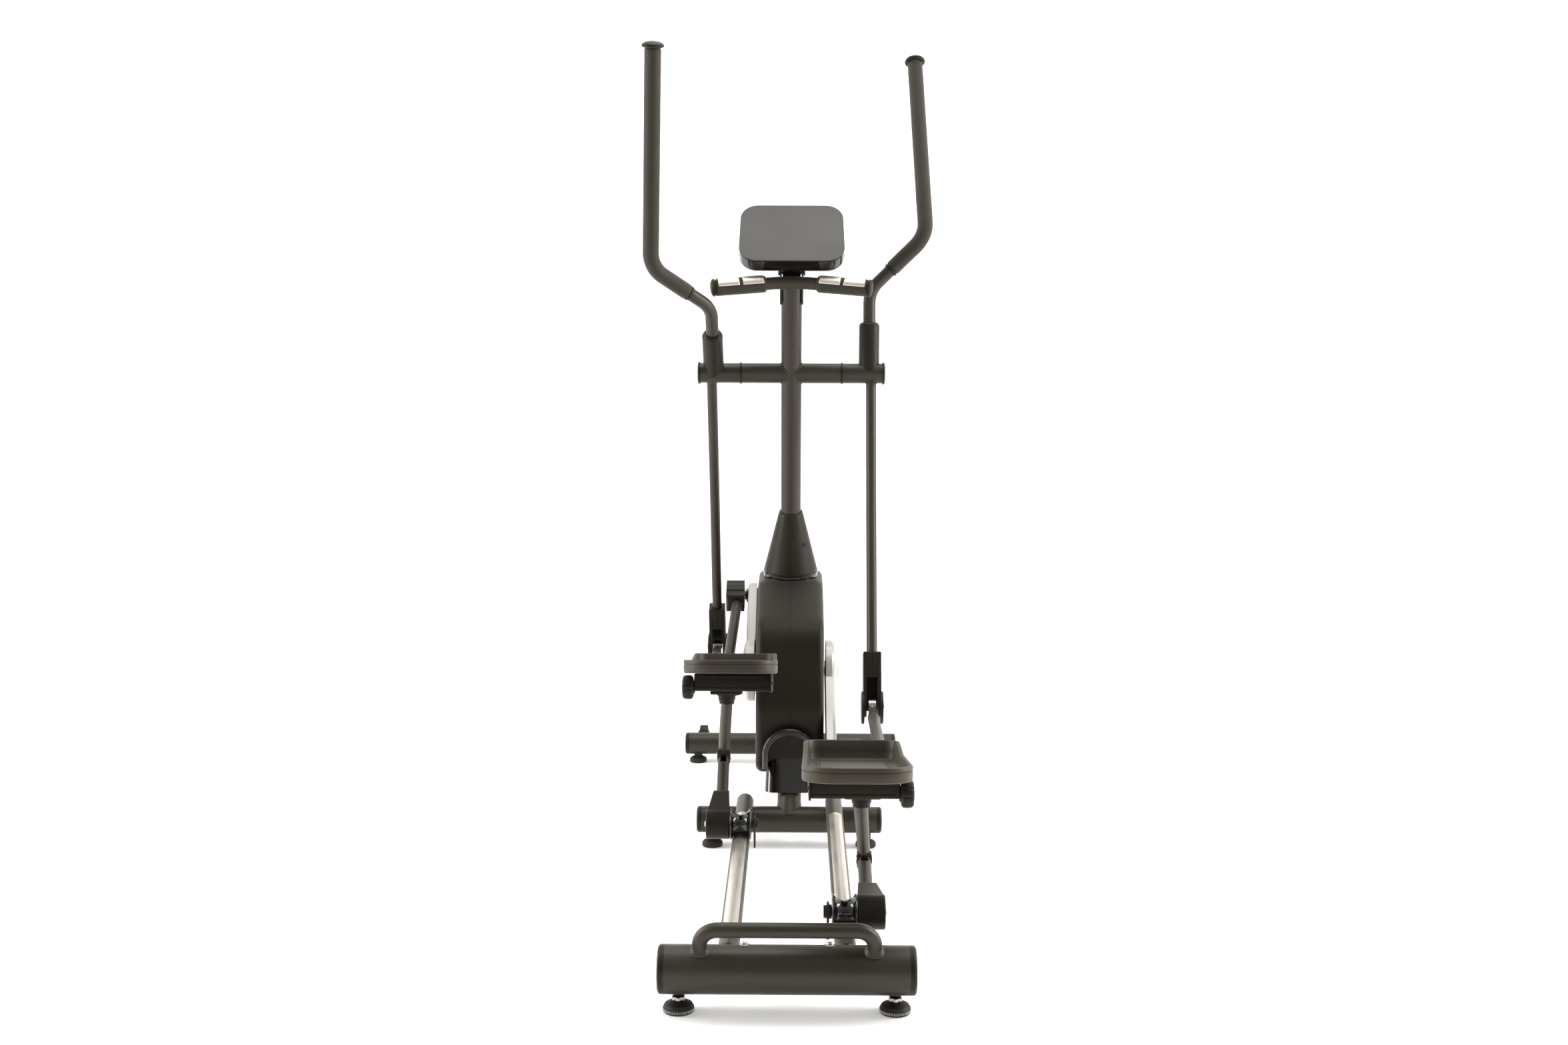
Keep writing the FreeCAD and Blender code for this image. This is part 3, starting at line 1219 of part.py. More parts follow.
# ---------------------------------------------------------------- feet and wheels
def levelling_foot(x):
    """Screw foot under the rear tube: pad, nut and threaded stem."""
    profile = [(0, 0), (PAD_R - 2, 0), (PAD_R, 2), (PAD_R, 9), (PAD_R - 3, 14), (12, 19), (9, 20),
               (9, 27), (5, 28), (5, 60), (0, 60)]
    return turned(profile, Vector(x, REAR_Y, 0), Z_AXIS)


def fixed_feet():
    """Rubber feet under the middle and front tubes."""
    feet = []
    for x, y, centre_z in (
        (MID_FOOT_X, MID_Y, MID_TUBE_Z),
        (FRONT_FOOT_X - 2, FRONT_Y, FRONT_TUBE_Z),
    ):
        profile = [(0, 0), (PAD_R - 5, 0), (PAD_R - 3, 2), (PAD_R - 3, 9), (PAD_R - 6, 13), (11, 17),
                   (11, centre_z - 20), (0, centre_z - 20)]
        foot = turned(profile, Vector(x, y, 0), Z_AXIS)
        foot = foot.cut(cross_rod(100, 300, y, centre_z, CROSS_TUBE_R))
        feet.append(foot)
        feet.append(mirrored(foot))
    return group(feet)


def transport_wheel(side):
    y = FRONT_Y + WHEEL_FORE
    body = cross_rod(WHEEL_X - WHEEL_WIDTH / 2, WHEEL_X + WHEEL_WIDTH / 2, y, WHEEL_Z, WHEEL_R)
    body = soften(body, 4, lambda edge: isinstance(edge.Curve, Part.Circle))
    return on_side(body.cut(cross_rod(200, 260, y, WHEEL_Z, 5 + RUNNING)), side)


# ---------------------------------------------------------------- all the nodes
def nodes():
    """Every node's name and shape."""
    made = {
        "rear_stabiliser": rear_stabiliser(),
        "middle_crossbar": middle_crossbar(),
        "front_stabiliser": front_stabiliser(),
        "tube_end_caps": tube_end_caps(),
        "rail_tubes": rail_tubes(),
        "rail_strips": rail_strips(),
        "frame_spine": frame_spine(),
        "mast": mast(),
        "shroud_left": shroud_half("left"),
        "shroud_right": shroud_half("right"),
        "mast_boot": mast_boot(),
        "trim_rings": trim_rings(),
        "post_boot": post_boot(),
        "fixed_feet": fixed_feet(),
        "fixed_handlebar": fixed_handlebar(),
        "fixed_grips": fixed_grips(),
        "pulse_contacts": pulse_contacts(),
        "console_housing": console_housing(),
        "console_face": console_face(),
        "crank_bearings": crank_bearings(),
        "crank_axle": crank_axle(),
        "drive_pulley": drive_pulley(),
        "drive_belt": drive_belt(),
        "crank_arms": crank_arms(),
        "crank_covers": crank_covers(),
        "flywheel": flywheel(),
        "eddy_brake": eddy_brake(),
        "power_inlet": power_inlet(),
    }
    for side, sign in SIDES.items():
        made[side + "_levelling_foot"] = levelling_foot(sign * REAR_FOOT_X)
        made[side + "_transport_wheel"] = transport_wheel(side)
        made[side + "_roller_carriage"] = roller_carriage(side)
        made[side + "_roller"] = roller(side)
        made[side + "_connecting_arm"] = connecting_arm(side)
        made[side + "_connecting_covers"] = connecting_covers(side)
        made[side + "_pedal_arm"] = pedal_arm(side)
        made[side + "_rod_end"] = rod_end(side)
        made[side + "_pedal_bracket"] = pedal_bracket(side)
        made[side + "_pedal"] = pedal(side)
        made[side + "_pedal_knob"] = pedal_knob(side)
        made[side + "_swing_arm"] = swing_arm(side)
        made[side + "_swing_covers"] = swing_covers(side)
        made[side + "_swing_handlebar"] = swing_handlebar(side)
        made[side + "_swing_grip"] = swing_grip(side)
        made[side + "_grip_cap"] = grip_cap(side)
    return made


def main():
    os.makedirs("parts", exist_ok=True)
    for name, shape in nodes().items():
        shape.exportStep(os.path.join("parts", name + ".step"))
        box_ = shape.BoundBox
        print("%-26s solids %d valid %s  x %.0f..%.0f y %.0f..%.0f z %.0f..%.0f" % (
            name, len(shape.Solids), shape.isValid(), box_.XMin, box_.XMax,
            box_.YMin, box_.YMax, box_.ZMin, box_.ZMax))


if __name__ == "__main__":
    main()
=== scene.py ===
"""Looks for the elliptical trainer: camera, studio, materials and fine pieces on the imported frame."""

import json
import math

import bmesh
import bpy
from mathutils import Matrix, Vector, noise


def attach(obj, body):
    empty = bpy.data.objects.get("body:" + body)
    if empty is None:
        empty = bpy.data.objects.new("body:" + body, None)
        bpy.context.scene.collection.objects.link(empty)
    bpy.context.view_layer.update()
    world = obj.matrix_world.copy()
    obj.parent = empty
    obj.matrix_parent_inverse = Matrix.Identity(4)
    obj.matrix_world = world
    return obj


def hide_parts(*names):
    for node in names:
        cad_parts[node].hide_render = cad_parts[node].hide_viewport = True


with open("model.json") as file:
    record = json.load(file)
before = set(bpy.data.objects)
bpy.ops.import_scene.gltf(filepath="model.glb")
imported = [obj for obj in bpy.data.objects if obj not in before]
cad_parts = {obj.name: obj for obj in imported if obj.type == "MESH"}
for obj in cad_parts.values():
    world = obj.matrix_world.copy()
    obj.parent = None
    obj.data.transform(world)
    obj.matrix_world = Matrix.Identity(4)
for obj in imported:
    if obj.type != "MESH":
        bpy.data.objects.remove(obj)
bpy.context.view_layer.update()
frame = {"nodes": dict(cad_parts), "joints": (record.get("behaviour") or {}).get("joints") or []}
NODES = frame["nodes"]
SIDES = {"left": -1, "right": 1}


# ------------------------------------------------------------------ camera and studio
# From a perspective fit of the photograph: place in metres, yaw, pitch and roll in radians, lens in mm.
CAMERA_PLACE = (0.0096, -3.57025, 1.0499)
CAMERA_TURN = (0.0065, -0.0911, -0.004)
CAMERA_LENS = 38.64
FLOOR_REACH = 400
FLOOR_END = 3.9
LAMP_WARM = (1, 0.97, 0.93)


def make_camera():
    """Camera behind the machine, a little over 1 m up, looking slightly down."""
    yaw, pitch, roll = CAMERA_TURN
    right0 = Vector((math.cos(yaw), math.sin(yaw), 0))
    level = Vector((-math.sin(yaw), math.cos(yaw), 0))
    ahead = level * math.cos(pitch) + Vector((0, 0, 1)) * math.sin(pitch)
    up0 = Vector((0, 0, 1)) * math.cos(pitch) - level * math.sin(pitch)
    right = right0 * math.cos(roll) - up0 * math.sin(roll)
    up = right0 * math.sin(roll) + up0 * math.cos(roll)
    data = bpy.data.cameras.new("camera")
    data.sensor_width = 36
    data.lens = CAMERA_LENS
    data.clip_end = 60
    cam = bpy.data.objects.new("camera", data)
    bpy.context.scene.collection.objects.link(cam)
    turn = Matrix((right, up, -ahead)).transposed().to_4x4()
    cam.matrix_world = Matrix.Translation(CAMERA_PLACE) @ turn
    bpy.context.scene.camera = cam


def area_light(name, place, aim, size, power, colour=(1, 1, 1)):
    """Soft box at place that faces aim and that the camera does not see."""
    data = bpy.data.lights.new(name, "AREA")
    data.shape = "RECTANGLE"
    data.size, data.size_y = size
    data.energy = power
    data.color = colour
    light = bpy.data.objects.new(name, data)
    bpy.context.scene.collection.objects.link(light)
    light.location = place
    light.rotation_mode = "QUATERNION"
    light.rotation_quaternion = (Vector(aim) - Vector(place)).to_track_quat("-Z", "Y")
    light.visible_camera = False


def make_world():
    """Bright surround that is dimmer behind the camera."""
    world = bpy.data.worlds.new("studio")
    bpy.context.scene.world = world
    world.use_nodes = True
    tree = world.node_tree
    tree.nodes.clear()
    out = tree.nodes.new("ShaderNodeOutputWorld")
    sky = tree.nodes.new("ShaderNodeBackground")
    coord = tree.nodes.new("ShaderNodeTexCoord")
    split = tree.nodes.new("ShaderNodeSeparateXYZ")
    ramp = tree.nodes.new("ShaderNodeMapRange")
    ramp.inputs["From Min"].default_value = -0.9
    ramp.inputs["From Max"].default_value = 0.25
    ramp.inputs["To Min"].default_value = 0.36
    ramp.inputs["To Max"].default_value = 1.12
    tree.links.new(coord.outputs["Generated"], split.inputs[0])
    tree.links.new(split.outputs["Y"], ramp.inputs["Value"])
    tree.links.new(ramp.outputs[0], sky.inputs["Strength"])
    sky.inputs["Color"].default_value = (1, 0.985, 0.955, 1)
    tree.links.new(sky.outputs[0], out.inputs[0])


def make_floor():
    """Pale floor that curves up behind the machine; the part past FLOOR_END glows a little more."""
    profile = [(-FLOOR_REACH, 0), (-9, 0), (-4, 0), (0, 0), (4, 0)]
    profile += [(6 + 3 * math.sin(a), 3 - 3 * math.cos(a)) for a in (0, 0.3, 0.6, 0.9, 1.2, 1.5)]
    profile += [(9, 9)]
    mesh = bpy.data.meshes.new("floor")
    build = bmesh.new()
    rows = []
    for y, z in profile:
        rows.append([build.verts.new((x, y, z)) for x in (-FLOOR_REACH, -10, -3, 0, 3, 10, FLOOR_REACH)])
    for low, high in zip(rows, rows[1:]):
        for i in range(6):
            made = build.faces.new((low[i], low[i + 1], high[i + 1], high[i]))
            made.material_index = 1 if low[i].co.y > FLOOR_END else 0
    build.to_mesh(mesh)
    build.free()
    for face in mesh.polygons:
        face.use_smooth = True
    floor = bpy.data.objects.new("floor", mesh)
    bpy.context.scene.collection.objects.link(floor)
    for name, glow in (("floor_white", 0.24), ("sweep_white", 0.60)):
        mat = bpy.data.materials.new(name)
        mat.use_nodes = True
        shader = mat.node_tree.nodes["Principled BSDF"]
        shader.inputs["Base Color"].default_value = (0.93, 0.93, 0.93, 1)
        shader.inputs["Roughness"].default_value = 0.9
        shader.inputs["Specular IOR Level"].default_value = 0.1
        shader.inputs["Emission Color"].default_value = (1, 1, 1, 1)
        shader.inputs["Emission Strength"].default_value = glow
        mesh.materials.append(mat)


def make_studio():
    """World, floor, two tall side boxes and one overhead."""
    bpy.context.scene.view_settings.view_transform = "Standard"
    make_world()
    make_floor()
    area_light("box_left", (-3.0, -0.3, 1.6), (0, 0.1, 0.8), (0.9, 2.6), 85, LAMP_WARM)
    area_light("box_right", (3.1, -0.2, 1.8), (0, 0.1, 0.8), (1.0, 2.6), 115, LAMP_WARM)
    area_light("box_top", (0.3, 0.2, 4.2), (0, 0, 0), (2.4, 2.4), 70)


make_camera()
make_studio()


# ------------------------------------------------------------------ materials
class Shader:
    """One procedural material under construction."""

    def __init__(self, name):
        self.mat = bpy.data.materials.new(name)
        self.mat.use_nodes = True
        self.tree = self.mat.node_tree
        self.bsdf = self.tree.nodes["Principled BSDF"]
        self.coord = self.node("ShaderNodeTexCoord").outputs["Object"]

    def node(self, kind, **settings):
        made = self.tree.nodes.new(kind)
        for key, value in settings.items():
            setattr(made, key, value)
        return made

    def link(self, one, other):
        self.tree.links.new(one, other)

    def stretched(self, scale, turn=(0, 0, 0)):
        """Object coordinates scaled by a different amount on each axis."""
        mapping = self.node("ShaderNodeMapping")
        mapping.inputs["Scale"].default_value = scale
        mapping.inputs["Rotation"].default_value = turn
        self.link(self.coord, mapping.inputs["Vector"])
        return mapping.outputs[0]

    def noise(self, scale, detail=3, rough=0.5, vector=None, distortion=0):
        made = self.node("ShaderNodeTexNoise")
        made.inputs["Scale"].default_value = scale
        made.inputs["Detail"].default_value = detail
        made.inputs["Roughness"].default_value = rough
        made.inputs["Distortion"].default_value = distortion
        self.link(vector or self.coord, made.inputs["Vector"])
        return made.outputs["Fac"]

    def cells(self, scale, feature="F1", vector=None):
        made = self.node("ShaderNodeTexVoronoi", feature=feature)
        made.inputs["Scale"].default_value = scale
        self.link(vector or self.coord, made.inputs["Vector"])
        return made.outputs["Distance"]

    def ranged(self, value, low, high, to_low, to_high):
        made = self.node("ShaderNodeMapRange")
        for key, number in zip(("From Min", "From Max", "To Min", "To Max"), (low, high, to_low, to_high)):
            made.inputs[key].default_value = number
        self.link(value, made.inputs["Value"])
        return made.outputs[0]

    def mixed(self, factor, first, second):
        """Colour between first and second; each is a colour or a socket."""
        made = self.node("ShaderNodeMix", data_type="RGBA")
        self.link(factor, made.inputs["Factor"])
        for slot, value in ((6, first), (7, second)):
            if isinstance(value, (tuple, list)):
                made.inputs[slot].default_value = (*value, 1)
            else:
                self.link(value, made.inputs[slot])
        return made.outputs[2]

    def maths(self, kind, first, second):
        made = self.node("ShaderNodeMath", operation=kind)
        for slot, value in ((0, first), (1, second)):
            if isinstance(value, (int, float)):
                made.inputs[slot].default_value = value
            else:
                self.link(value, made.inputs[slot])
        return made.outputs[0]

    def bump(self, height, strength, distance, normal=None):
        made = self.node("ShaderNodeBump")
        made.inputs["Strength"].default_value = strength
        made.inputs["Distance"].default_value = distance
        self.link(height, made.inputs["Height"])
        if normal is not None:
            self.link(normal, made.inputs["Normal"])
        return made.outputs[0]

    def colour(self, value):
        if isinstance(value, (tuple, list)):
            self.bsdf.inputs["Base Color"].default_value = (*value, 1)
        else:
            self.link(value, self.bsdf.inputs["Base Color"])

    def roughness(self, value):
        self.link(value, self.bsdf.inputs["Roughness"])

    def normal(self, value):
        self.link(value, self.bsdf.inputs["Normal"])

    def set(self, **values):
        for key, value in values.items():
            self.bsdf.inputs[key.replace("_", " ")].default_value = value

    def warm(self):
        """Reflections and sheen a little warm, as under the photograph's lamps."""
        self.bsdf.inputs["Specular Tint"].default_value = (1.0, 0.93, 0.82, 1)
        self.bsdf.inputs["Sheen Tint"].default_value = (1.0, 0.90, 0.76, 1)


def tinted(colour, amount):
    """Colour times amount, with no channel above 1."""
    return tuple(min(1, c * amount) for c in colour)


def coated_metal(name, base, rough=0.42, grain=1500, depth=0.00006):
    """Powder coat: fine orange peel, soft patches of sheen and a few rubbed spots."""
    s = Shader(name)
    patches = s.noise(9, 4, 0.55)
    fine = s.noise(grain, 2, 0.6)
    peel = s.noise(grain * 0.3, 2, 0.5)
    rub = s.ranged(s.noise(38, 5, 0.7, distortion=0.6), 0.66, 0.78, 0, 1)
    body = s.mixed(s.ranged(patches, 0.3, 0.7, 0, 1), tinted(base, 0.86), tinted(base, 1.16))
    speck = s.mixed(s.ranged(fine, 0.62, 0.82, 0, 0.5), body, tinted(base, 2.0))
    s.colour(s.mixed(s.maths("MULTIPLY", rub, 0.35), speck, tinted(base, 1.7)))
    uneven = s.maths("ADD", patches, s.maths("MULTIPLY", fine, 0.25))
    s.roughness(s.ranged(uneven, 0.3, 1.0, rough - 0.05, rough + 0.09))
    s.normal(s.bump(fine, 0.55, depth, s.bump(peel, 0.35, depth * 2.2)))
    s.set(Specular_IOR_Level=0.42, Sheen_Weight=0.12, Sheen_Roughness=0.35)
    s.warm()
    return s.mat


def moulded(name, base, rough=0.4, grain=2600, depth=0.00004, shade=0.12, spec=0.5, scuff=0.3):
    """Moulded plastic: spark-eroded grain, slow flow marks, light scuffs."""
    s = Shader(name)
    flow = s.noise(5.5, 3, 0.5, distortion=0.8)
    grainy = s.noise(grain, 2, 0.55)
    scratch = s.noise(60, 6, 0.75, s.stretched((1, 1, 9), (0.4, 0.3, 0.1)))
    marks = s.ranged(scratch, 0.66, 0.76, 0, 1)
    body = s.mixed(s.ranged(flow, 0.3, 0.7, 0, 1), tinted(base, 1 - shade), tinted(base, 1 + shade))
    s.colour(s.mixed(s.maths("MULTIPLY", marks, scuff), body, tinted(base, 1.9)))
    uneven = s.ranged(flow, 0.3, 0.7, rough - 0.03, rough + 0.05)
    s.roughness(s.maths("ADD", uneven, s.maths("MULTIPLY", marks, 0.08)))
    s.normal(s.bump(grainy, 0.5, depth, s.bump(flow, 0.1, 0.0004)))
    s.set(Specular_IOR_Level=spec, Sheen_Weight=0.10, Sheen_Roughness=0.4)
    s.warm()
    return s.mat


def glossy(name, base):
    """Piano black with faint polishing haze and dust."""
    s = Shader(name)
    haze = s.noise(14, 5, 0.6)
    dust = s.ranged(s.noise(900, 2, 0.5), 0.70, 0.82, 0, 1)
    s.colour(s.mixed(s.maths("MULTIPLY", dust, 0.4), tinted(base, 1), tinted(base, 5)))
    s.roughness(s.maths("ADD", s.ranged(haze, 0.3, 0.7, 0.06, 0.15), s.maths("MULTIPLY", dust, 0.2)))
    s.normal(s.bump(s.noise(26, 2, 0.4), 0.05, 0.0005))
    s.set(Coat_Weight=0.35, Coat_Roughness=0.05)
    return s.mat


def bare_metal(name, base, rough, stretch, line=700, depth=0.00003, stain=0.25):
    """Metal with drawing or turning lines along the axis where stretch is small."""
    s = Shader(name)
    lines = s.noise(line, 3, 0.6, s.stretched(stretch))
    broad = s.noise(line * 0.08, 3, 0.5, s.stretched(stretch))
    cloud = s.noise(16, 4, 0.6)
    body = s.mixed(s.ranged(lines, 0.3, 0.7, 0, 1), tinted(base, 0.86), tinted(base, 1.08))
    toned = s.mixed(s.maths("MULTIPLY", s.ranged(broad, 0.35, 0.65, 0, 1), 0.5), body, tinted(base, 0.9))
    s.colour(s.mixed(s.maths("MULTIPLY", s.ranged(cloud, 0.5, 0.75, 0, 1), stain), toned, tinted(base, 0.62)))
    uneven = s.ranged(cloud, 0.3, 0.7, rough - 0.05, rough + 0.06)
    s.roughness(s.maths("ADD", uneven, s.maths("MULTIPLY", lines, 0.08)))
    s.normal(s.bump(lines, 0.45, depth))
    s.set(Metallic=1.0)
    return s.mat


def soft_foam(name, base):
    """Closed-cell foam: pores with painted shade in their pits, matte with a faint sheen, darker where hands
    rub it.
    """
    s = Shader(name)
    pores = s.cells(620)
    fine = s.noise(1500, 2, 0.6)
    worn = s.noise(11, 4, 0.6, s.stretched((1, 1, 0.35)))
    skin = s.mixed(s.ranged(worn, 0.35, 0.7, 0, 1), tinted(base, 1.18), tinted(base, 0.78))
    # Painted shade: the pore pits are painted darker, down to 0.35 of the base colour, as shade falling into
    # them.
    s.colour(s.mixed(s.ranged(pores, 0.05, 0.45, 0.55, 0), skin, tinted(base, 0.35)))
    s.roughness(s.ranged(worn, 0.3, 0.7, 0.82, 0.62))
    height = s.maths("ADD", pores, s.maths("MULTIPLY", fine, 0.35))
    s.normal(s.bump(height, 0.75, 0.00022))
    s.set(Sheen_Weight=0.2, Sheen_Roughness=0.45, Specular_IOR_Level=0.4)
    s.warm()
    return s.mat


def flaked(name, base, rough=0.33):
    """Silver painted plastic with fine metallic flake under a thin clear coat."""
    s = Shader(name)
    flake = s.noise(3200, 1, 0.4)
    cloud = s.noise(7, 3, 0.5)
    body = s.mixed(s.ranged(cloud, 0.3, 0.7, 0, 1), tinted(base, 0.94), tinted(base, 1.05))
    s.colour(s.mixed(s.ranged(flake, 0.45, 0.75, 0, 0.5), body, tinted(base, 1.25)))
    uneven = s.maths("ADD", cloud, s.maths("MULTIPLY", flake, 0.3))
    s.roughness(s.ranged(uneven, 0.4, 1.0, rough - 0.05, rough + 0.08))
    s.normal(s.bump(flake, 0.2, 0.00002))
    s.set(Metallic=0.25, Coat_Weight=0.3, Coat_Roughness=0.12)
    return s.mat


def speckled(name, base):
    """Matte instrument plate with fine light speckle."""
    s = Shader(name)
    speck = s.noise(1800, 2, 0.7)
    blotch = s.noise(260, 3, 0.6)
    cloud = s.noise(8, 3, 0.5)
    body = s.mixed(s.ranged(cloud, 0.3, 0.7, 0, 1), tinted(base, 0.93), tinted(base, 1.07))
    mottled = s.mixed(s.ranged(blotch, 0.35, 0.65, 0, 0.6), body, tinted(base, 1.25))
    s.colour(s.mixed(s.ranged(speck, 0.58, 0.74, 0, 0.55), mottled, tinted(base, 2.0)))
    s.roughness(s.ranged(s.maths("ADD", cloud, s.maths("MULTIPLY", speck, 0.4)), 0.4, 1.1, 0.42, 0.56))
    s.normal(s.bump(speck, 0.4, 0.00005))
    return s.mat


def rubbery(name, base):
    """Rubber: dull, dusty in patches, finely pebbled."""
    s = Shader(name)
    dust = s.noise(30, 5, 0.65)
    pebble = s.noise(1900, 2, 0.5)
    s.colour(s.mixed(s.ranged(dust, 0.5, 0.75, 0, 0.6), base, tinted(base, 2.4)))
    s.roughness(s.ranged(dust, 0.3, 0.7, 0.55, 0.78))
    s.normal(s.bump(pebble, 0.5, 0.00005))
    s.set(Specular_IOR_Level=0.4)
    return s.mat


MATERIALS = {
    "painted_steel": coated_metal("charcoal_powder_coat", (0.0195, 0.0168, 0.0126)),
    "black_plastic": moulded("black_grained_plastic", (0.0080, 0.0068, 0.0050), 0.46, spec=0.24),
    "gloss_black": glossy("gloss_black_plastic", (0.006, 0.0057, 0.005)),
    "foam": soft_foam("handle_foam", (0.017, 0.0152, 0.0128)),
    "aluminium": bare_metal("brushed_aluminium", (0.78, 0.735, 0.66), 0.36, (1, 0.02, 1)),
    "steel": bare_metal("turned_steel", (0.50, 0.48, 0.45), 0.26, (0.05, 1, 1)),
    "silver_plastic": flaked("silver_plastic", (0.47, 0.455, 0.43)),
    "pedal_plastic": moulded("pedal_plastic", (0.036, 0.0315, 0.0240), 0.46, 1700, 0.00007, 0.1, spec=0.36),
    "rubber": rubbery("foot_rubber", (0.010, 0.0095, 0.0085)),
    "cast_iron": coated_metal("cast_iron", (0.05, 0.048, 0.045), 0.5, 800, 0.0001),
    "belt_rubber": rubbery("belt_rubber", (0.012, 0.012, 0.012)),
    "contact_metal": bare_metal("contact_plate", (0.80, 0.735, 0.64), 0.34, (0.03, 1, 1), 500),
    "console_plastic": speckled("console_plate", (0.030, 0.027, 0.0232)),
}


# ------------------------------------------------------------------ CAD nodes take their finishes
for name, obj in NODES.items():
    for index, old in enumerate(obj.data.materials):
        key = old.name.split(".")[0]
        if key in MATERIALS:
            obj.data.materials[index] = MATERIALS[key]

# ------------------------------------------------------------------ places, in mm of the part's own frame
JOINTS = {joint["name"]: joint for joint in frame["joints"]}


def joint_place(name):
    """X, y and z of a joint at rest, in mm."""
    return [value * 1000 for value in JOINTS[name]["pos_m"]]


MAST_LEAN = math.radians(17)
MAST_AXIS = Vector((0, -math.sin(MAST_LEAN), math.cos(MAST_LEAN)))
MAST_R = 23.0
SWING_X, SWING_Y, SWING_Z = 180.5, *joint_place("left_swing_turn")[1:]
SWING_RADIUS = 750.0
HUB_R = 22.5
LOWER_TUBE_R = 11.5
HANDLE_X = 175.5
HANDLE_ROUTE = [(HANDLE_X, -49.4, 179.5), (300, -98.0, 292.4), (284, -22.0, 738.4)]
HANDLE_BEND = 63
HANDLE_BORE = 14.15
CRANK_Y, CRANK_Z = joint_place("crank_turn")[1:]
PEDAL_PIVOT = (200.0, 14.0)
PEDAL_ARM_LENGTH = 665.0
HINGE_X, HINGE_END = 138.0, 13.8
FOOT_X, REAR_Y = joint_place("right_foot_screw")[:2]
REAR_Z, REAR_R = 71.0, 40.0
MID_Y, MID_Z, MID_R = CRANK_Y - 214.5, 60.0, 28.5
RAIL_X = 97.0


def mast_point(z):
    """Point of the mast's axis at height z; the axis passes through the swing pivot."""
    return Vector((0, SWING_Y - (z - SWING_Z) * math.tan(MAST_LEAN), z))


BAR_Y, BAR_Z = mast_point(1232).y - MAST_R - 12, 1238.0


def rest_frames(side):
    """Y, z and slope in degrees of one side's link, step and swing frames at rest."""
    roller = joint_place(side + "_link_pitch")[1:]
    pivot = joint_place(side + "_step_pitch")[1:]
    swing = joint_place(side + "_swing_turn")[1:]
    along, above = PEDAL_PIVOT
    link = math.atan2(pivot[1] - roller[1], pivot[0] - roller[0]) - math.atan2(above, along)
    # The rod end is where the pedal arm's circle meets the swing arm's, on its front side.
    gap_y, gap_z = swing[0] - pivot[0], swing[1] - pivot[1]
    span = math.hypot(gap_y, gap_z)
    part = (PEDAL_ARM_LENGTH ** 2 - SWING_RADIUS ** 2 + span ** 2) / (2 * span)
    rise = math.sqrt(PEDAL_ARM_LENGTH ** 2 - part ** 2)
    rod_y = pivot[0] + (gap_y * part + gap_z * rise) / span
    rod_z = pivot[1] + (gap_z * part - gap_y * rise) / span
    step = math.atan2(rod_z - pivot[1], rod_y - pivot[0])
    hang = math.atan2(rod_y - swing[0], swing[1] - rod_z)
    return {
        "link": (*roller, math.degrees(link)),
        "step": (*pivot, math.degrees(step)),
        "swing": (*swing, math.degrees(hang)),
    }


REST = {side: rest_frames(side) for side in SIDES}


def at(side, part, point):
    """Point of one side's link, step or swing frame, in the part's frame (mm)."""
    y0, z0, slope = REST[side][part]
    c, s = math.cos(math.radians(slope)), math.sin(math.radians(slope))
    x, y, z = point
    return Vector((SIDES[side] * x, y0 + y * c - z * s, z0 + y * s + z * c))


def heading(side, part, direction):
    """Direction of one side's frame, in the part's frame."""
    return (at(side, part, direction) - at(side, part, (0, 0, 0))).normalized()


def square_to(axis):
    """Two unit vectors square to axis."""
    axis = Vector(axis).normalized()
    first = axis.cross(Vector((0, 0, 1)) if abs(axis.z) < 0.9 else Vector((0, 1, 0))).normalized()
    return axis, first, axis.cross(first)


# ------------------------------------------------------------------ mesh builders
def piece(name, build, slot, body, sharp=32):
    """Turn a bmesh drawn in millimetres into a finished object that moves with body."""
    bmesh.ops.remove_doubles(build, verts=build.verts, dist=0.0005)
    bmesh.ops.recalc_face_normals(build, faces=build.faces)
    bmesh.ops.scale(build, vec=(0.001, 0.001, 0.001), verts=build.verts)
    for face in build.faces:
        face.smooth = True
    for edge in build.edges:
        if len(edge.link_faces) == 2 and edge.calc_face_angle(0) > math.radians(sharp):
            edge.smooth = False
    mesh = bpy.data.meshes.new(name)
    build.to_mesh(mesh)
    build.free()
    mesh.materials.append(MATERIALS[slot])
    obj = bpy.data.objects.new(name, mesh)
    bpy.context.scene.collection.objects.link(obj)
    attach(obj, body)
    return obj


def skin(build, rings, loop=False):
    """Quads between neighbouring rings of equal length; a ring of one vertex closes as a fan."""
    pairs = list(zip(rings, rings[1:])) + ([(rings[-1], rings[0])] if loop else [])
    for low, high in pairs:
        count = max(len(low), len(high))
        for i in range(count):
            j = (i + 1) % count
            corners = []
            for ring, k in ((low, i), (low, j), (high, j), (high, i)):
                vert = ring[k % len(ring)]
                if vert not in corners:
                    corners.append(vert)
            if len(corners) > 2:
                build.faces.new(corners)


LOBED_FROM = 18


def lathe(build, profile, place, axis, segments=48, lobes=0):
    """Turned shape. Each row is (radius, height) or (flat, height, sides); wide rows take the lobes."""
    axis, first, second = square_to(axis)
    rings = []
    for row in profile:
        radius, height = row[:2]
        sides = row[2] if len(row) > 2 else 0
        ring = []
        for k in range(segments if radius > 0 else 1):
            turn = 2 * math.pi * k / segments
            reach = radius
            if sides:
                step = 2 * math.pi / sides
                reach = radius / math.cos((turn + step / 2) % step - step / 2)
            if lobes and radius > LOBED_FROM:
                reach -= 1.5 * max(0.0, math.cos(lobes * turn)) ** 3
            ring.append(build.verts.new(Vector(place) + axis * height
                                        + (first * math.cos(turn) + second * math.sin(turn)) * reach))
        rings.append(ring)
    skin(build, rings)


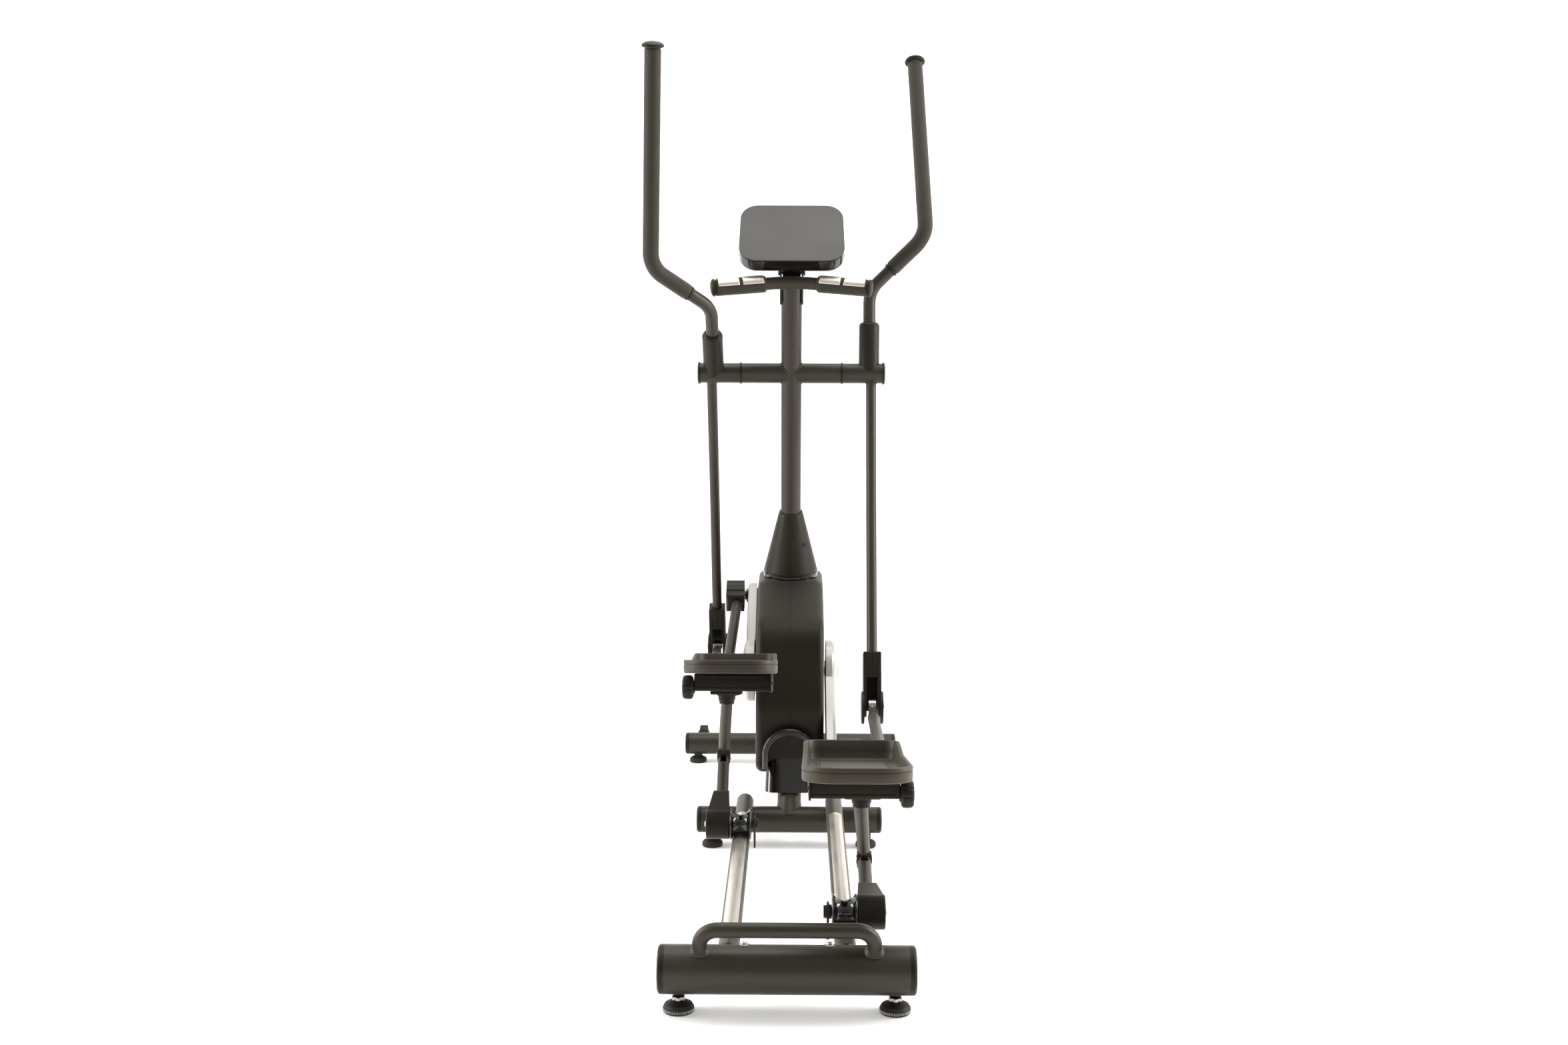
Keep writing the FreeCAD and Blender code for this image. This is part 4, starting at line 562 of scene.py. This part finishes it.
def socket_screw(build, place, axis, radius):
    """Domed head with a chamfered hexagon socket."""
    r = radius
    head = [(0, -0.3), (r, -0.3), (r, 0.25 * r), (0.92 * r, 0.42 * r), (0.72 * r, 0.56 * r)]
    socket = [(0.56 * r, 0.6 * r), (0.42 * r, 0.52 * r, 6), (0.42 * r, 0.12 * r, 6), (0, 0.08 * r)]
    lathe(build, head + socket, place, axis, 36)


def washer(build, place, axis, outer, inner, thick):
    lathe(build, [(inner, 0), (outer - 0.3, 0), (outer, 0.3), (outer, thick - 0.3), (outer - 0.3, thick),
                  (inner + 0.3, thick), (inner, thick - 0.3), (inner, 0)], place, axis, 40)


def hex_nut(build, place, axis, flat, bore, high):
    lathe(build, [(bore, 0), (flat * 0.97, 0), (flat, 0.7, 6), (flat, high - 0.7, 6), (flat * 0.97, high),
                  (bore + 0.5, high), (bore, high - 0.5), (bore, 0)], place, axis, 48)


def bead(build, points, radius, closed=True, ripple=3.6):
    """Weld bead: a lens-shaped roll with overlapping scallops along points."""
    count = len(points)
    rings = []
    run = 0.0
    for i, point in enumerate(points):
        before = points[(i - 1) % count] if closed or i else point
        after = points[(i + 1) % count] if closed or i < count - 1 else point
        axis, first, second = square_to(after - before)
        run += (point - before).length
        phase = (run % ripple) / ripple
        swell = radius * (0.84 + 0.22 * (1 - (2 * phase - 1) ** 2))
        ring = []
        for k in range(8):
            turn = math.pi * k / 4
            ring.append(build.verts.new(point + (first * math.cos(turn) + second * math.sin(turn)) * swell))
        rings.append(ring)
    # Follow the nearest vertex from ring to ring so that the roll never twists.
    aligned = [rings[0]]
    for ring in rings[1:]:
        lead = min(range(8), key=lambda k: (ring[k].co - aligned[-1][0].co).length)
        turned_ring = ring[lead:] + ring[:lead]
        if (turned_ring[1].co - aligned[-1][1].co).length > (turned_ring[-1].co - aligned[-1][1].co).length:
            turned_ring = [turned_ring[0]] + turned_ring[:0:-1]
        aligned.append(turned_ring)
    skin(build, aligned)
    if closed:
        lead = min(range(8), key=lambda k: (aligned[0][k].co - aligned[-1][0].co).length)
        skin(build, [aligned[-1], aligned[0][lead:] + aligned[0][:lead]])


def rounded(points, radius, step=2.0):
    """Evenly spaced points along a route whose corners are arcs of radius."""
    points = [Vector(p) for p in points]
    rough = [points[0]]
    for before, corner, after in zip(points, points[1:], points[2:]):
        back, ahead = (before - corner).normalized(), (after - corner).normalized()
        half = back.angle(ahead) / 2
        middle = (back + ahead).normalized()
        centre = corner + middle * (radius / math.sin(half))
        enter = corner + back * (radius / math.tan(half)) - centre
        leave = corner + ahead * (radius / math.tan(half)) - centre
        sweep = enter.angle(leave)
        for k in range(25):
            share = k / 24
            arm = enter * math.sin((1 - share) * sweep) + leave * math.sin(share * sweep)
            rough.append(centre + arm / math.sin(sweep))
    rough.append(points[-1])
    spaced, left = [rough[0]], step
    for low, high in zip(rough, rough[1:]):
        span = (high - low).length
        walked = 0.0
        while span - walked > left:
            walked += left
            spaced.append(low.lerp(high, walked / span))
            left = step
        left -= span - walked
    if (spaced[-1] - rough[-1]).length > 0.4 * step:
        spaced.append(rough[-1])
    else:
        spaced[-1] = rough[-1]
    return spaced


def foam_sleeve(build, path, outer, bore, seed):
    """Hollow foam tube with softened ends, faint hand dents and open pores."""
    frames = []
    axis, first, second = square_to(path[1] - path[0])
    for i, point in enumerate(path):
        along = (path[min(i + 1, len(path) - 1)] - path[max(i - 1, 0)]).normalized()
        first = (first - along * first.dot(along)).normalized()
        frames.append((point, first.copy(), along.cross(first)))
    segments = 56
    length = sum((b - a).length for a, b in zip(path, path[1:]))
    run = 0.0
    rings = []
    for i, (point, one, two) in enumerate(frames):
        if i:
            run += (path[i] - path[i - 1]).length
        edge = min(run, length - run)
        shrink = 2.4 * max(0.0, 1 - edge / 3.5) ** 2
        ring = []
        for k in range(segments):
            turn = 2 * math.pi * k / segments
            out = one * math.cos(turn) + two * math.sin(turn)
            probe = (point + out * outer) + Vector((seed, 0, 0))
            soft = noise.noise(probe * 0.035) * 0.28 + noise.noise(probe * 0.6) * 0.10
            pore = -0.22 * max(0.0, noise.noise(probe * 0.9) - 0.35)
            ring.append(build.verts.new(point + out * (outer - 0.25 - shrink + soft * 0.7 + pore)))
        rings.append(ring)
    for i in list(range(len(frames) - 1, 0, -8)) + [0]:
        point, one, two = frames[i]
        rings.append([build.verts.new(point + (one * math.cos(2 * math.pi * k / segments)
                                                + two * math.sin(2 * math.pi * k / segments)) * bore)
                      for k in range(segments)])
    skin(build, rings, loop=True)


def touch(node, origin, direction):
    """Where a ray (mm) first meets a CAD node: the place and the outward normal, in mm."""
    obj = NODES[node]
    inverse = obj.matrix_world.inverted()
    start = inverse @ (Vector(origin) * 0.001)
    ray = inverse.to_3x3() @ Vector(direction).normalized()
    hit, place, normal, _ = obj.ray_cast(start, ray)
    if not hit:
        return None
    return (obj.matrix_world @ place) * 1000, (obj.matrix_world.to_3x3() @ normal).normalized()


# ------------------------------------------------------------------ foam grips
def swing_grips():
    """Foam sleeve on each swinging handlebar, with a moulded stop at its lower end."""
    for side in SIDES:
        low = Vector(HANDLE_ROUTE[0]).lerp(Vector(HANDLE_ROUTE[1]), 0.40)
        local = rounded([low, HANDLE_ROUTE[1], HANDLE_ROUTE[2]], HANDLE_BEND)
        path = [at(side, "swing", p) for p in local]
        build = bmesh.new()
        foam_sleeve(build, path, 17.5, HANDLE_BORE, 40 * SIDES[side])
        grip = piece(side + "_foam_sleeve", build, "foam", side + "_swing", 50)
        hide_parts(side + "_swing_grip")
        build = bmesh.new()
        run = (path[0] - path[1]).normalized()
        stop = [(15.9, 0.4), (16.4, 1.0), (16.4, 5.5), (15.6, 7.0), (HANDLE_BORE, 7.2), (HANDLE_BORE, 0.4)]
        lathe(build, [(HANDLE_BORE, 0.4)] + stop, path[0], run)
        piece(side + "_grip_stop", build, "black_plastic", side + "_swing")


def fixed_grip_line(sign):
    """Inner and outer ends of one fixed grip's axis, and the direction between them."""
    inner = Vector((sign * 30, BAR_Y, BAR_Z))
    outer = Vector((sign * 168, BAR_Y - 26, BAR_Z - 12))
    return inner, outer, (outer - inner).normalized()


def fixed_bar_grips():
    """Foam sleeves and domed end caps of the fixed handlebar."""
    build, caps = bmesh.new(), bmesh.new()
    rim = [(0, 0.2), (18.6, 0.2), (19.4, 0.9), (19.5, 2.2), (18.9, 4.2), (17.6, 5.6), (17.0, 5.4)]
    dome = [(16.4, 6.2), (13.0, 8.0), (8.0, 8.8), (4.0, 8.9), (3.4, 8.3), (0, 8.3)]
    for sign in (-1, 1):
        inner, outer, run = fixed_grip_line(sign)
        foam_sleeve(build, rounded([inner + run * 28, outer - run], 1), 19, HANDLE_BORE, 90 * sign)
        lathe(caps, rim + dome, outer + run * 0.2, run)
    grips = piece("fixed_foam_sleeves", build, "foam", "frame", 50)
    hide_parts("fixed_grips")
    piece("fixed_bar_end_caps", caps, "black_plastic", "frame")


def contact_pads():
    """Two metal pads on the upper rear of each fixed grip."""
    build = bmesh.new()
    for sign in (-1, 1):
        inner, outer, run = fixed_grip_line(sign)
        rear = (Vector((0, -1, 0)) + run * run.y).normalized()
        top = run.cross(rear) if run.cross(rear).z > 0 else rear.cross(run)
        start, length = inner + run * 28, (outer - inner).length - 29
        for low, high in ((0.05, 0.465), (0.535, 0.95)):
            stations = [(low, 0.7), (low + 0.006, 0.15)]
            stations += [(low + 0.012 + (high - low - 0.024) * k / 12, 0) for k in range(13)]
            stations += [(high - 0.006, 0.15), (high, 0.7)]
            rings = []
            for share, drop in stations:
                centre = start + run * (share * length)
                turns = [math.radians(3 + 135 * k / 29) for k in range(30)]
                outs = [rear * math.cos(turn) + top * math.sin(turn) for turn in turns]
                ring = []
                for k, out in enumerate(outs):
                    edge = 0.7 if k in (0, 29) else 0.15 if k in (1, 28) else 0
                    ring.append(centre + out * (20.3 - max(drop, edge)))
                ring += [centre + out * 18.6 for out in reversed(outs)]
                rings.append([build.verts.new(point) for point in ring])
            skin(build, rings)
            build.faces.new(rings[0])
            build.faces.new(rings[-1])
    pads = piece("pulse_contact_pads", build, "contact_metal", "frame", 40)
    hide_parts("pulse_contacts")


# ------------------------------------------------------------------ welds
def welds():
    """Beads at the mast's axle barrel, the rails' ends and the swing hubs."""
    build = bmesh.new()
    for sign in (-1, 1):
        loop = []
        for k in range(150):
            turn = 2 * math.pi * k / 150
            across = HUB_R * math.cos(turn - MAST_LEAN)
            loop.append(Vector((sign * (math.sqrt(MAST_R ** 2 - across ** 2) + 0.4),
                                SWING_Y + 22.6 * math.cos(turn), SWING_Z + 22.6 * math.sin(turn))))
        bead(build, loop, 1.9)
        loop = []
        for k in range(90):
            turn = 2 * math.pi * k / 90
            z = 91.2 + 18.4 * math.sin(turn)
            loop.append(Vector((sign * RAIL_X + 18.4 * math.cos(turn),
                                REAR_Y + math.sqrt(max(1.0, REAR_R ** 2 - (z - REAR_Z) ** 2)) + 0.3, z)))
        bead(build, loop, 1.8)
    for sign in (-1, 1):
        row = []
        for k in range(34):
            y = MID_Y - 14 + 12 * k / 33
            z = MID_Z + math.sqrt(MID_R ** 2 - (y - MID_Y) ** 2)
            row.append(Vector((sign * (RAIL_X + 17.2), y, z + 0.4)))
        bead(build, row, 1.7, closed=False)
    piece("frame_welds", build, "painted_steel", "frame", 60)
    for side in SIDES:
        build = bmesh.new()
        loop = []
        for k in range(70):
            turn = 2 * math.pi * k / 70
            x = SWING_X + (LOWER_TUBE_R + 0.2) * math.cos(turn)
            y = (LOWER_TUBE_R + 0.2) * math.sin(turn)
            loop.append(at(side, "swing", (x, y, -math.sqrt(HUB_R ** 2 - y ** 2) - 0.2)))
        bead(build, loop, 1.5)
        piece(side + "_hub_weld", build, "painted_steel", side + "_swing", 60)


# ------------------------------------------------------------------ fasteners and small fittings
BOOT_FOOT_Z = 580
BOOT_SCREW_TURN = math.radians(44)
SHROUD_SCREWS = ((-150, 120), (60, 205), (300, 120), (330, -120), (120, -190), (-120, -150))
PIN_END = [(0, -0.2), (7.4, -0.2), (7.4, 0.3), (6.6, 1.1), (3.0, 1.2), (2.2, 0.5), (0, 0.4)]
PAD_R = 25.45


def frame_screws():
    """Screws of the mast boot and the shroud, and the bolts on the rear tube."""
    static = bmesh.new()
    dark = bmesh.new()
    side_way = Vector((math.sin(BOOT_SCREW_TURN), 0, 0))
    out = Vector((0, -MAST_AXIS.z, MAST_AXIS.y)) * math.cos(BOOT_SCREW_TURN) + side_way
    hit = touch("mast_boot", mast_point(BOOT_FOOT_Z) + MAST_AXIS * 72 + out * 120, -out)
    if hit:
        washer(dark, hit[0] - hit[1] * 0.5, hit[1], 6.2, 4.4, 1.3)
        socket_screw(dark, hit[0] - hit[1] * 1.4, hit[1], 4.1)
    for sign, node in ((-1, "shroud_left"), (1, "shroud_right")):
        for fore, above in SHROUD_SCREWS:
            hit = touch(node, (sign * 300, CRANK_Y + fore, CRANK_Z + above), (-sign, 0, 0))
            if hit and abs(hit[1].x) > 0.8:
                socket_screw(dark, hit[0] - hit[1] * 0.1, hit[1], 4.0)
    for x in (-70, 70):
        hit = touch("rear_stabiliser", (x, REAR_Y + 6, 300), (0, 0, -1))
        if hit:
            washer(static, hit[0] - hit[1] * 0.4, hit[1], 9.0, 4.2, 1.7)
            socket_screw(static, hit[0] + hit[1] * 1.2, hit[1], 6.2)
    piece("frame_bolts", static, "steel", "frame")
    piece("cover_screws", dark, "black_plastic", "frame")


def console_screws():
    """Two screws in each side of the console's housing."""
    console = bmesh.new()
    for sign in (-1, 1):
        for y, z in ((150, 1262), (176, 1300)):
            hit = touch("console_housing", (sign * 300, y, z), (-sign, 0, 0))
            if hit:
                socket_screw(console, hit[0] - hit[1] * 0.1, hit[1], 3.6)
    piece("console_side_screws", console, "steel", "console")


def side_fittings(side, sign):
    """Roller bolt, hinge pin ends, fork bolt, and the levelling foot's nut and rim of one side."""
    outward = Vector((sign, 0, 0))
    build = bmesh.new()
    socket_screw(build, at(side, "link", (165.9, 0, 0)), outward, 6.0)
    piece(side + "_roller_bolt", build, "steel", side + "_link")
    build = bmesh.new()
    lathe(build, PIN_END, at(side, "step", (HINGE_X + HINGE_END, 0, 0)), outward)
    lathe(build, PIN_END, at(side, "step", (HINGE_X - HINGE_END, 0, 0)), -outward)
    piece(side + "_hinge_pin_ends", build, "steel", side + "_step")
    build = bmesh.new()
    socket_screw(build, at(side, "swing", (SWING_X + 23.6, 0, -SWING_RADIUS)), outward, 7.0)
    washer(build, at(side, "swing", (SWING_X + 23.5, 0, -SWING_RADIUS)), outward, 11.0, 6.9, 1.2)
    piece(side + "_fork_bolt", build, "steel", side + "_swing")
    build = bmesh.new()
    hex_nut(build, (sign * FOOT_X, REAR_Y, 20.4), (0, 0, 1), 10.6, 9.02, 6.2)
    for k in range(60):
        turn = 2 * math.pi * k / 60
        rim = Vector((sign * FOOT_X + PAD_R * math.cos(turn), REAR_Y + PAD_R * math.sin(turn), 3.0))
        lathe(build, [(0, 0), (0.7, 0.3), (0.7, 4.4), (0, 4.8)], rim, (0, 0, 1), 6)
    piece(side + "_foot_nut", build, "steel", side + "_foot")


def crank_hub_plugs():
    """Stepped plug in the middle of each crank cover."""
    hub = bmesh.new()
    profile = [(0, -0.2), (20, -0.2), (20, 0.4), (19.4, 0.9), (16, 1.0), (15.4, 0.5), (14.6, 0.5), (14, 1.0),
               (4, 1.3), (0, 1.3)]
    for sign in (-1, 1):
        lathe(hub, profile, Vector((sign * 109.5, CRANK_Y, CRANK_Z)), Vector((sign, 0, 0)))
    piece("crank_hub_plugs", hub, "silver_plastic", "crank")


# ------------------------------------------------------------------ foot trays, their brackets and knobs
TRAY_X = 114
TRAY_FRONT = (65.0, 162.4)
TRAY_PITCH = math.radians(-20.9)
TRAY_FLOOR = 5.0
TRAY_RIM, TOE_CLIMB = 26, 15
KNOB_BACK, KNOB_UP = 250, -27.5
# Rows of the tray's section: inset from the outline, share of the rim's height, and lift in mm.
TRAY_SECTION = [
    (8, 0, 0), (3.5, 0, 0), (1.2, 0, 1.0), (0.2, 0, 3.4), (0.0, 0.5, 0), (0, 1, -9.6), (1.3, 1, -9.0),
    (1.3, 1, -7.8), (0, 1, -7.2), (0, 1, -1.7), (0.5, 1, -0.6), (1.6, 1, 0), (3.9, 1, 0), (4.4, 1, -1.0),
    (5.1, 1, -1.0), (5.6, 1, 0), (6.6, 1, -0.3), (7.3, 1, -1.6), (8.6, 0.5, 2), (10.2, 0, 9.2),
    (12.0, 0, 6.6), (15.0, 0, 5.3), (20.0, 0, TRAY_FLOOR),
]


def tray_point(x, back, up):
    """Point of a foot tray in the step frame: back from its front edge, up from its underside."""
    ahead = Vector((0, math.cos(TRAY_PITCH), math.sin(TRAY_PITCH)))
    normal = Vector((0, -math.sin(TRAY_PITCH), math.cos(TRAY_PITCH)))
    return Vector((x, *TRAY_FRONT)) - ahead * back + normal * up


def tray_spot(side):
    """Function that places a tray's (x, back, up) point in the part's frame."""
    return lambda x, back, up: at(side, "step", tray_point(x, back, up))


def slab(build, spot, spans, chamfer):
    """Box with rounded edges; spot places its (x, back, up) corners."""
    (x0, x1), (b0, b1), (z0, z1) = spans
    block = bmesh.new()
    bmesh.ops.create_cube(block, size=1)
    for vert in block.verts:
        x, y, z = vert.co
        vert.co = (x0 + (x + 0.5) * (x1 - x0), b0 + (y + 0.5) * (b1 - b0), z0 + (z + 0.5) * (z1 - z0))
    bmesh.ops.bevel(block, geom=block.edges[:], offset=chamfer, segments=3, profile=0.5, affect="EDGES")
    made = {vert: build.verts.new(spot(*vert.co)) for vert in block.verts}
    for face in block.faces:
        build.faces.new([made[vert] for vert in face.verts])
    block.free()


def tray_ring(inset):
    """Tray outline moved inwards: rounded toe corners, rounder heel corners, and points along the sides."""
    corners = ((57, 30, 30, -90), (33.5, 304, 58, 0), (-33.5, 304, 58, 90), (-57, 30, 30, 180))
    arcs = []
    for x, back, radius, start in corners:
        arcs.append([(TRAY_X + x + (radius - inset) * math.cos(math.radians(start + 6 * k)),
                      back + (radius - inset) * math.sin(math.radians(start + 6 * k))) for k in range(16)])
    ring = []
    for arc, following in zip(arcs, arcs[1:] + arcs[:1]):
        ring += arc
        (xa, ba), (xb, bb) = arc[-1], following[0]
        ring += [(xa + (xb - xa) * k / 14, ba + (bb - ba) * k / 14) for k in range(1, 14)]
    return ring


def trays():
    """Foot trays: double-lined rim that climbs to the toe, coved floor and cross treads."""
    for side in SIDES:
        build = bmesh.new()
        spot = tray_spot(side)
        rings = [[build.verts.new(spot(TRAY_X, 190, 0))]]
        for inset, share, lift in TRAY_SECTION:
            ring = []
            for x, back in tray_ring(inset):
                climb = min(1.0, max(0.0, (135 - back) / 120))
                rim = TRAY_RIM + TOE_CLIMB * climb * climb * (3 - 2 * climb)
                ring.append(build.verts.new(spot(x, back, share * rim + lift)))
            rings.append(ring)
        rings.append([build.verts.new(spot(TRAY_X, 190, TRAY_FLOOR))])
        skin(build, rings)
        for row in range(9):
            back = 62 + 27 * row
            half = 58 if back < 270 else 46
            slab(build, spot, ((TRAY_X - half, TRAY_X + half), (back, back + 24), (4.6, 6.4)), 0.7)
        for sign in (-1, 1):
            edge = TRAY_X + sign * 62
            slab(build, spot, ((edge - 1.2, edge + 1.2), (62, 290), (4.6, 7.0)), 0.5)
        tray = piece(side + "_foot_tray", build, "pedal_plastic", side + "_step", 40)
        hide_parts(side + "_pedal")


def tray_bracket(side, sign):
    """Moulded bracket under a tray: slide box, end plate, ribs, flange and stepped collar."""
    build = bmesh.new()
    spot = tray_spot(side)
    outward = Vector((sign, 0, 0))
    down = heading(side, "step", tray_point(0, 0, 0) - tray_point(0, 0, 1))
    slab(build, spot, ((37, 187.4), (68, 263), (-35, -0.5)), 3.0)
    slab(build, spot, ((34.5, 38.5), (64, 267), (-38, -0.5)), 1.2)
    slab(build, spot, ((52, 172), (262.6, 264.6), (-8.5, -4.5)), 0.8)
    slab(build, spot, ((44, 180), (262.6, 264.2), (-31, -28)), 0.6)
    slab(build, spot, ((96, 158), (94, 206), (-43, -34)), 2.0)
    collar = [(0, -1), (19.5, -1), (20.0, 0), (19.6, 3.5), (17.6, 5), (17.0, 12), (15.8, 13.2), (15.2, 19.5),
              (14.6, 20.2), (12.4, 20.2), (0, 20.2)]
    lathe(build, collar, spot(127, 150, -42), down)
    seat = [(0, -1), (13, -1), (13, 0.5), (12.6, 0.8), (0, 0.8)]
    lathe(build, seat, spot(187.3, KNOB_BACK, KNOB_UP), outward)
    for back in (80, 251):
        socket_screw(build, spot(34.6, back, -19), -outward, 3.4)
    for back in (110, 190):
        socket_screw(build, spot(104, back, -42.9), down, 3.0)
    bracket = piece(side + "_tray_bracket", build, "black_plastic", side + "_step", 30)
    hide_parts(side + "_pedal_bracket")


def adjuster(side, sign):
    """Lobed knob on the outer end of a tray's bracket."""
    build = bmesh.new()
    body = [(0, 0), (14, 0), (19.5, 0.9), (22.6, 3.0), (23.6, 6.0), (23.8, 10), (23.6, 16), (22.4, 19.6)]
    face = [(19.6, 21.6), (15.0, 22.3), (14.4, 21.4), (13.4, 21.4), (12.8, 22.4), (4, 22.9), (3.2, 22.2)]
    place = tray_spot(side)(188.5, KNOB_BACK, KNOB_UP)
    lathe(build, body + face + [(0, 22.2)], place, Vector((sign, 0, 0)), 120, 10)
    knob = piece(side + "_adjuster", build, "black_plastic", side + "_knob", 36)
    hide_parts(side + "_pedal_knob")


swing_grips()
fixed_bar_grips()
contact_pads()
welds()
frame_screws()
console_screws()
for side, sign in SIDES.items():
    side_fittings(side, sign)
crank_hub_plugs()
trays()
for side, sign in SIDES.items():
    tray_bracket(side, sign)
    adjuster(side, sign)
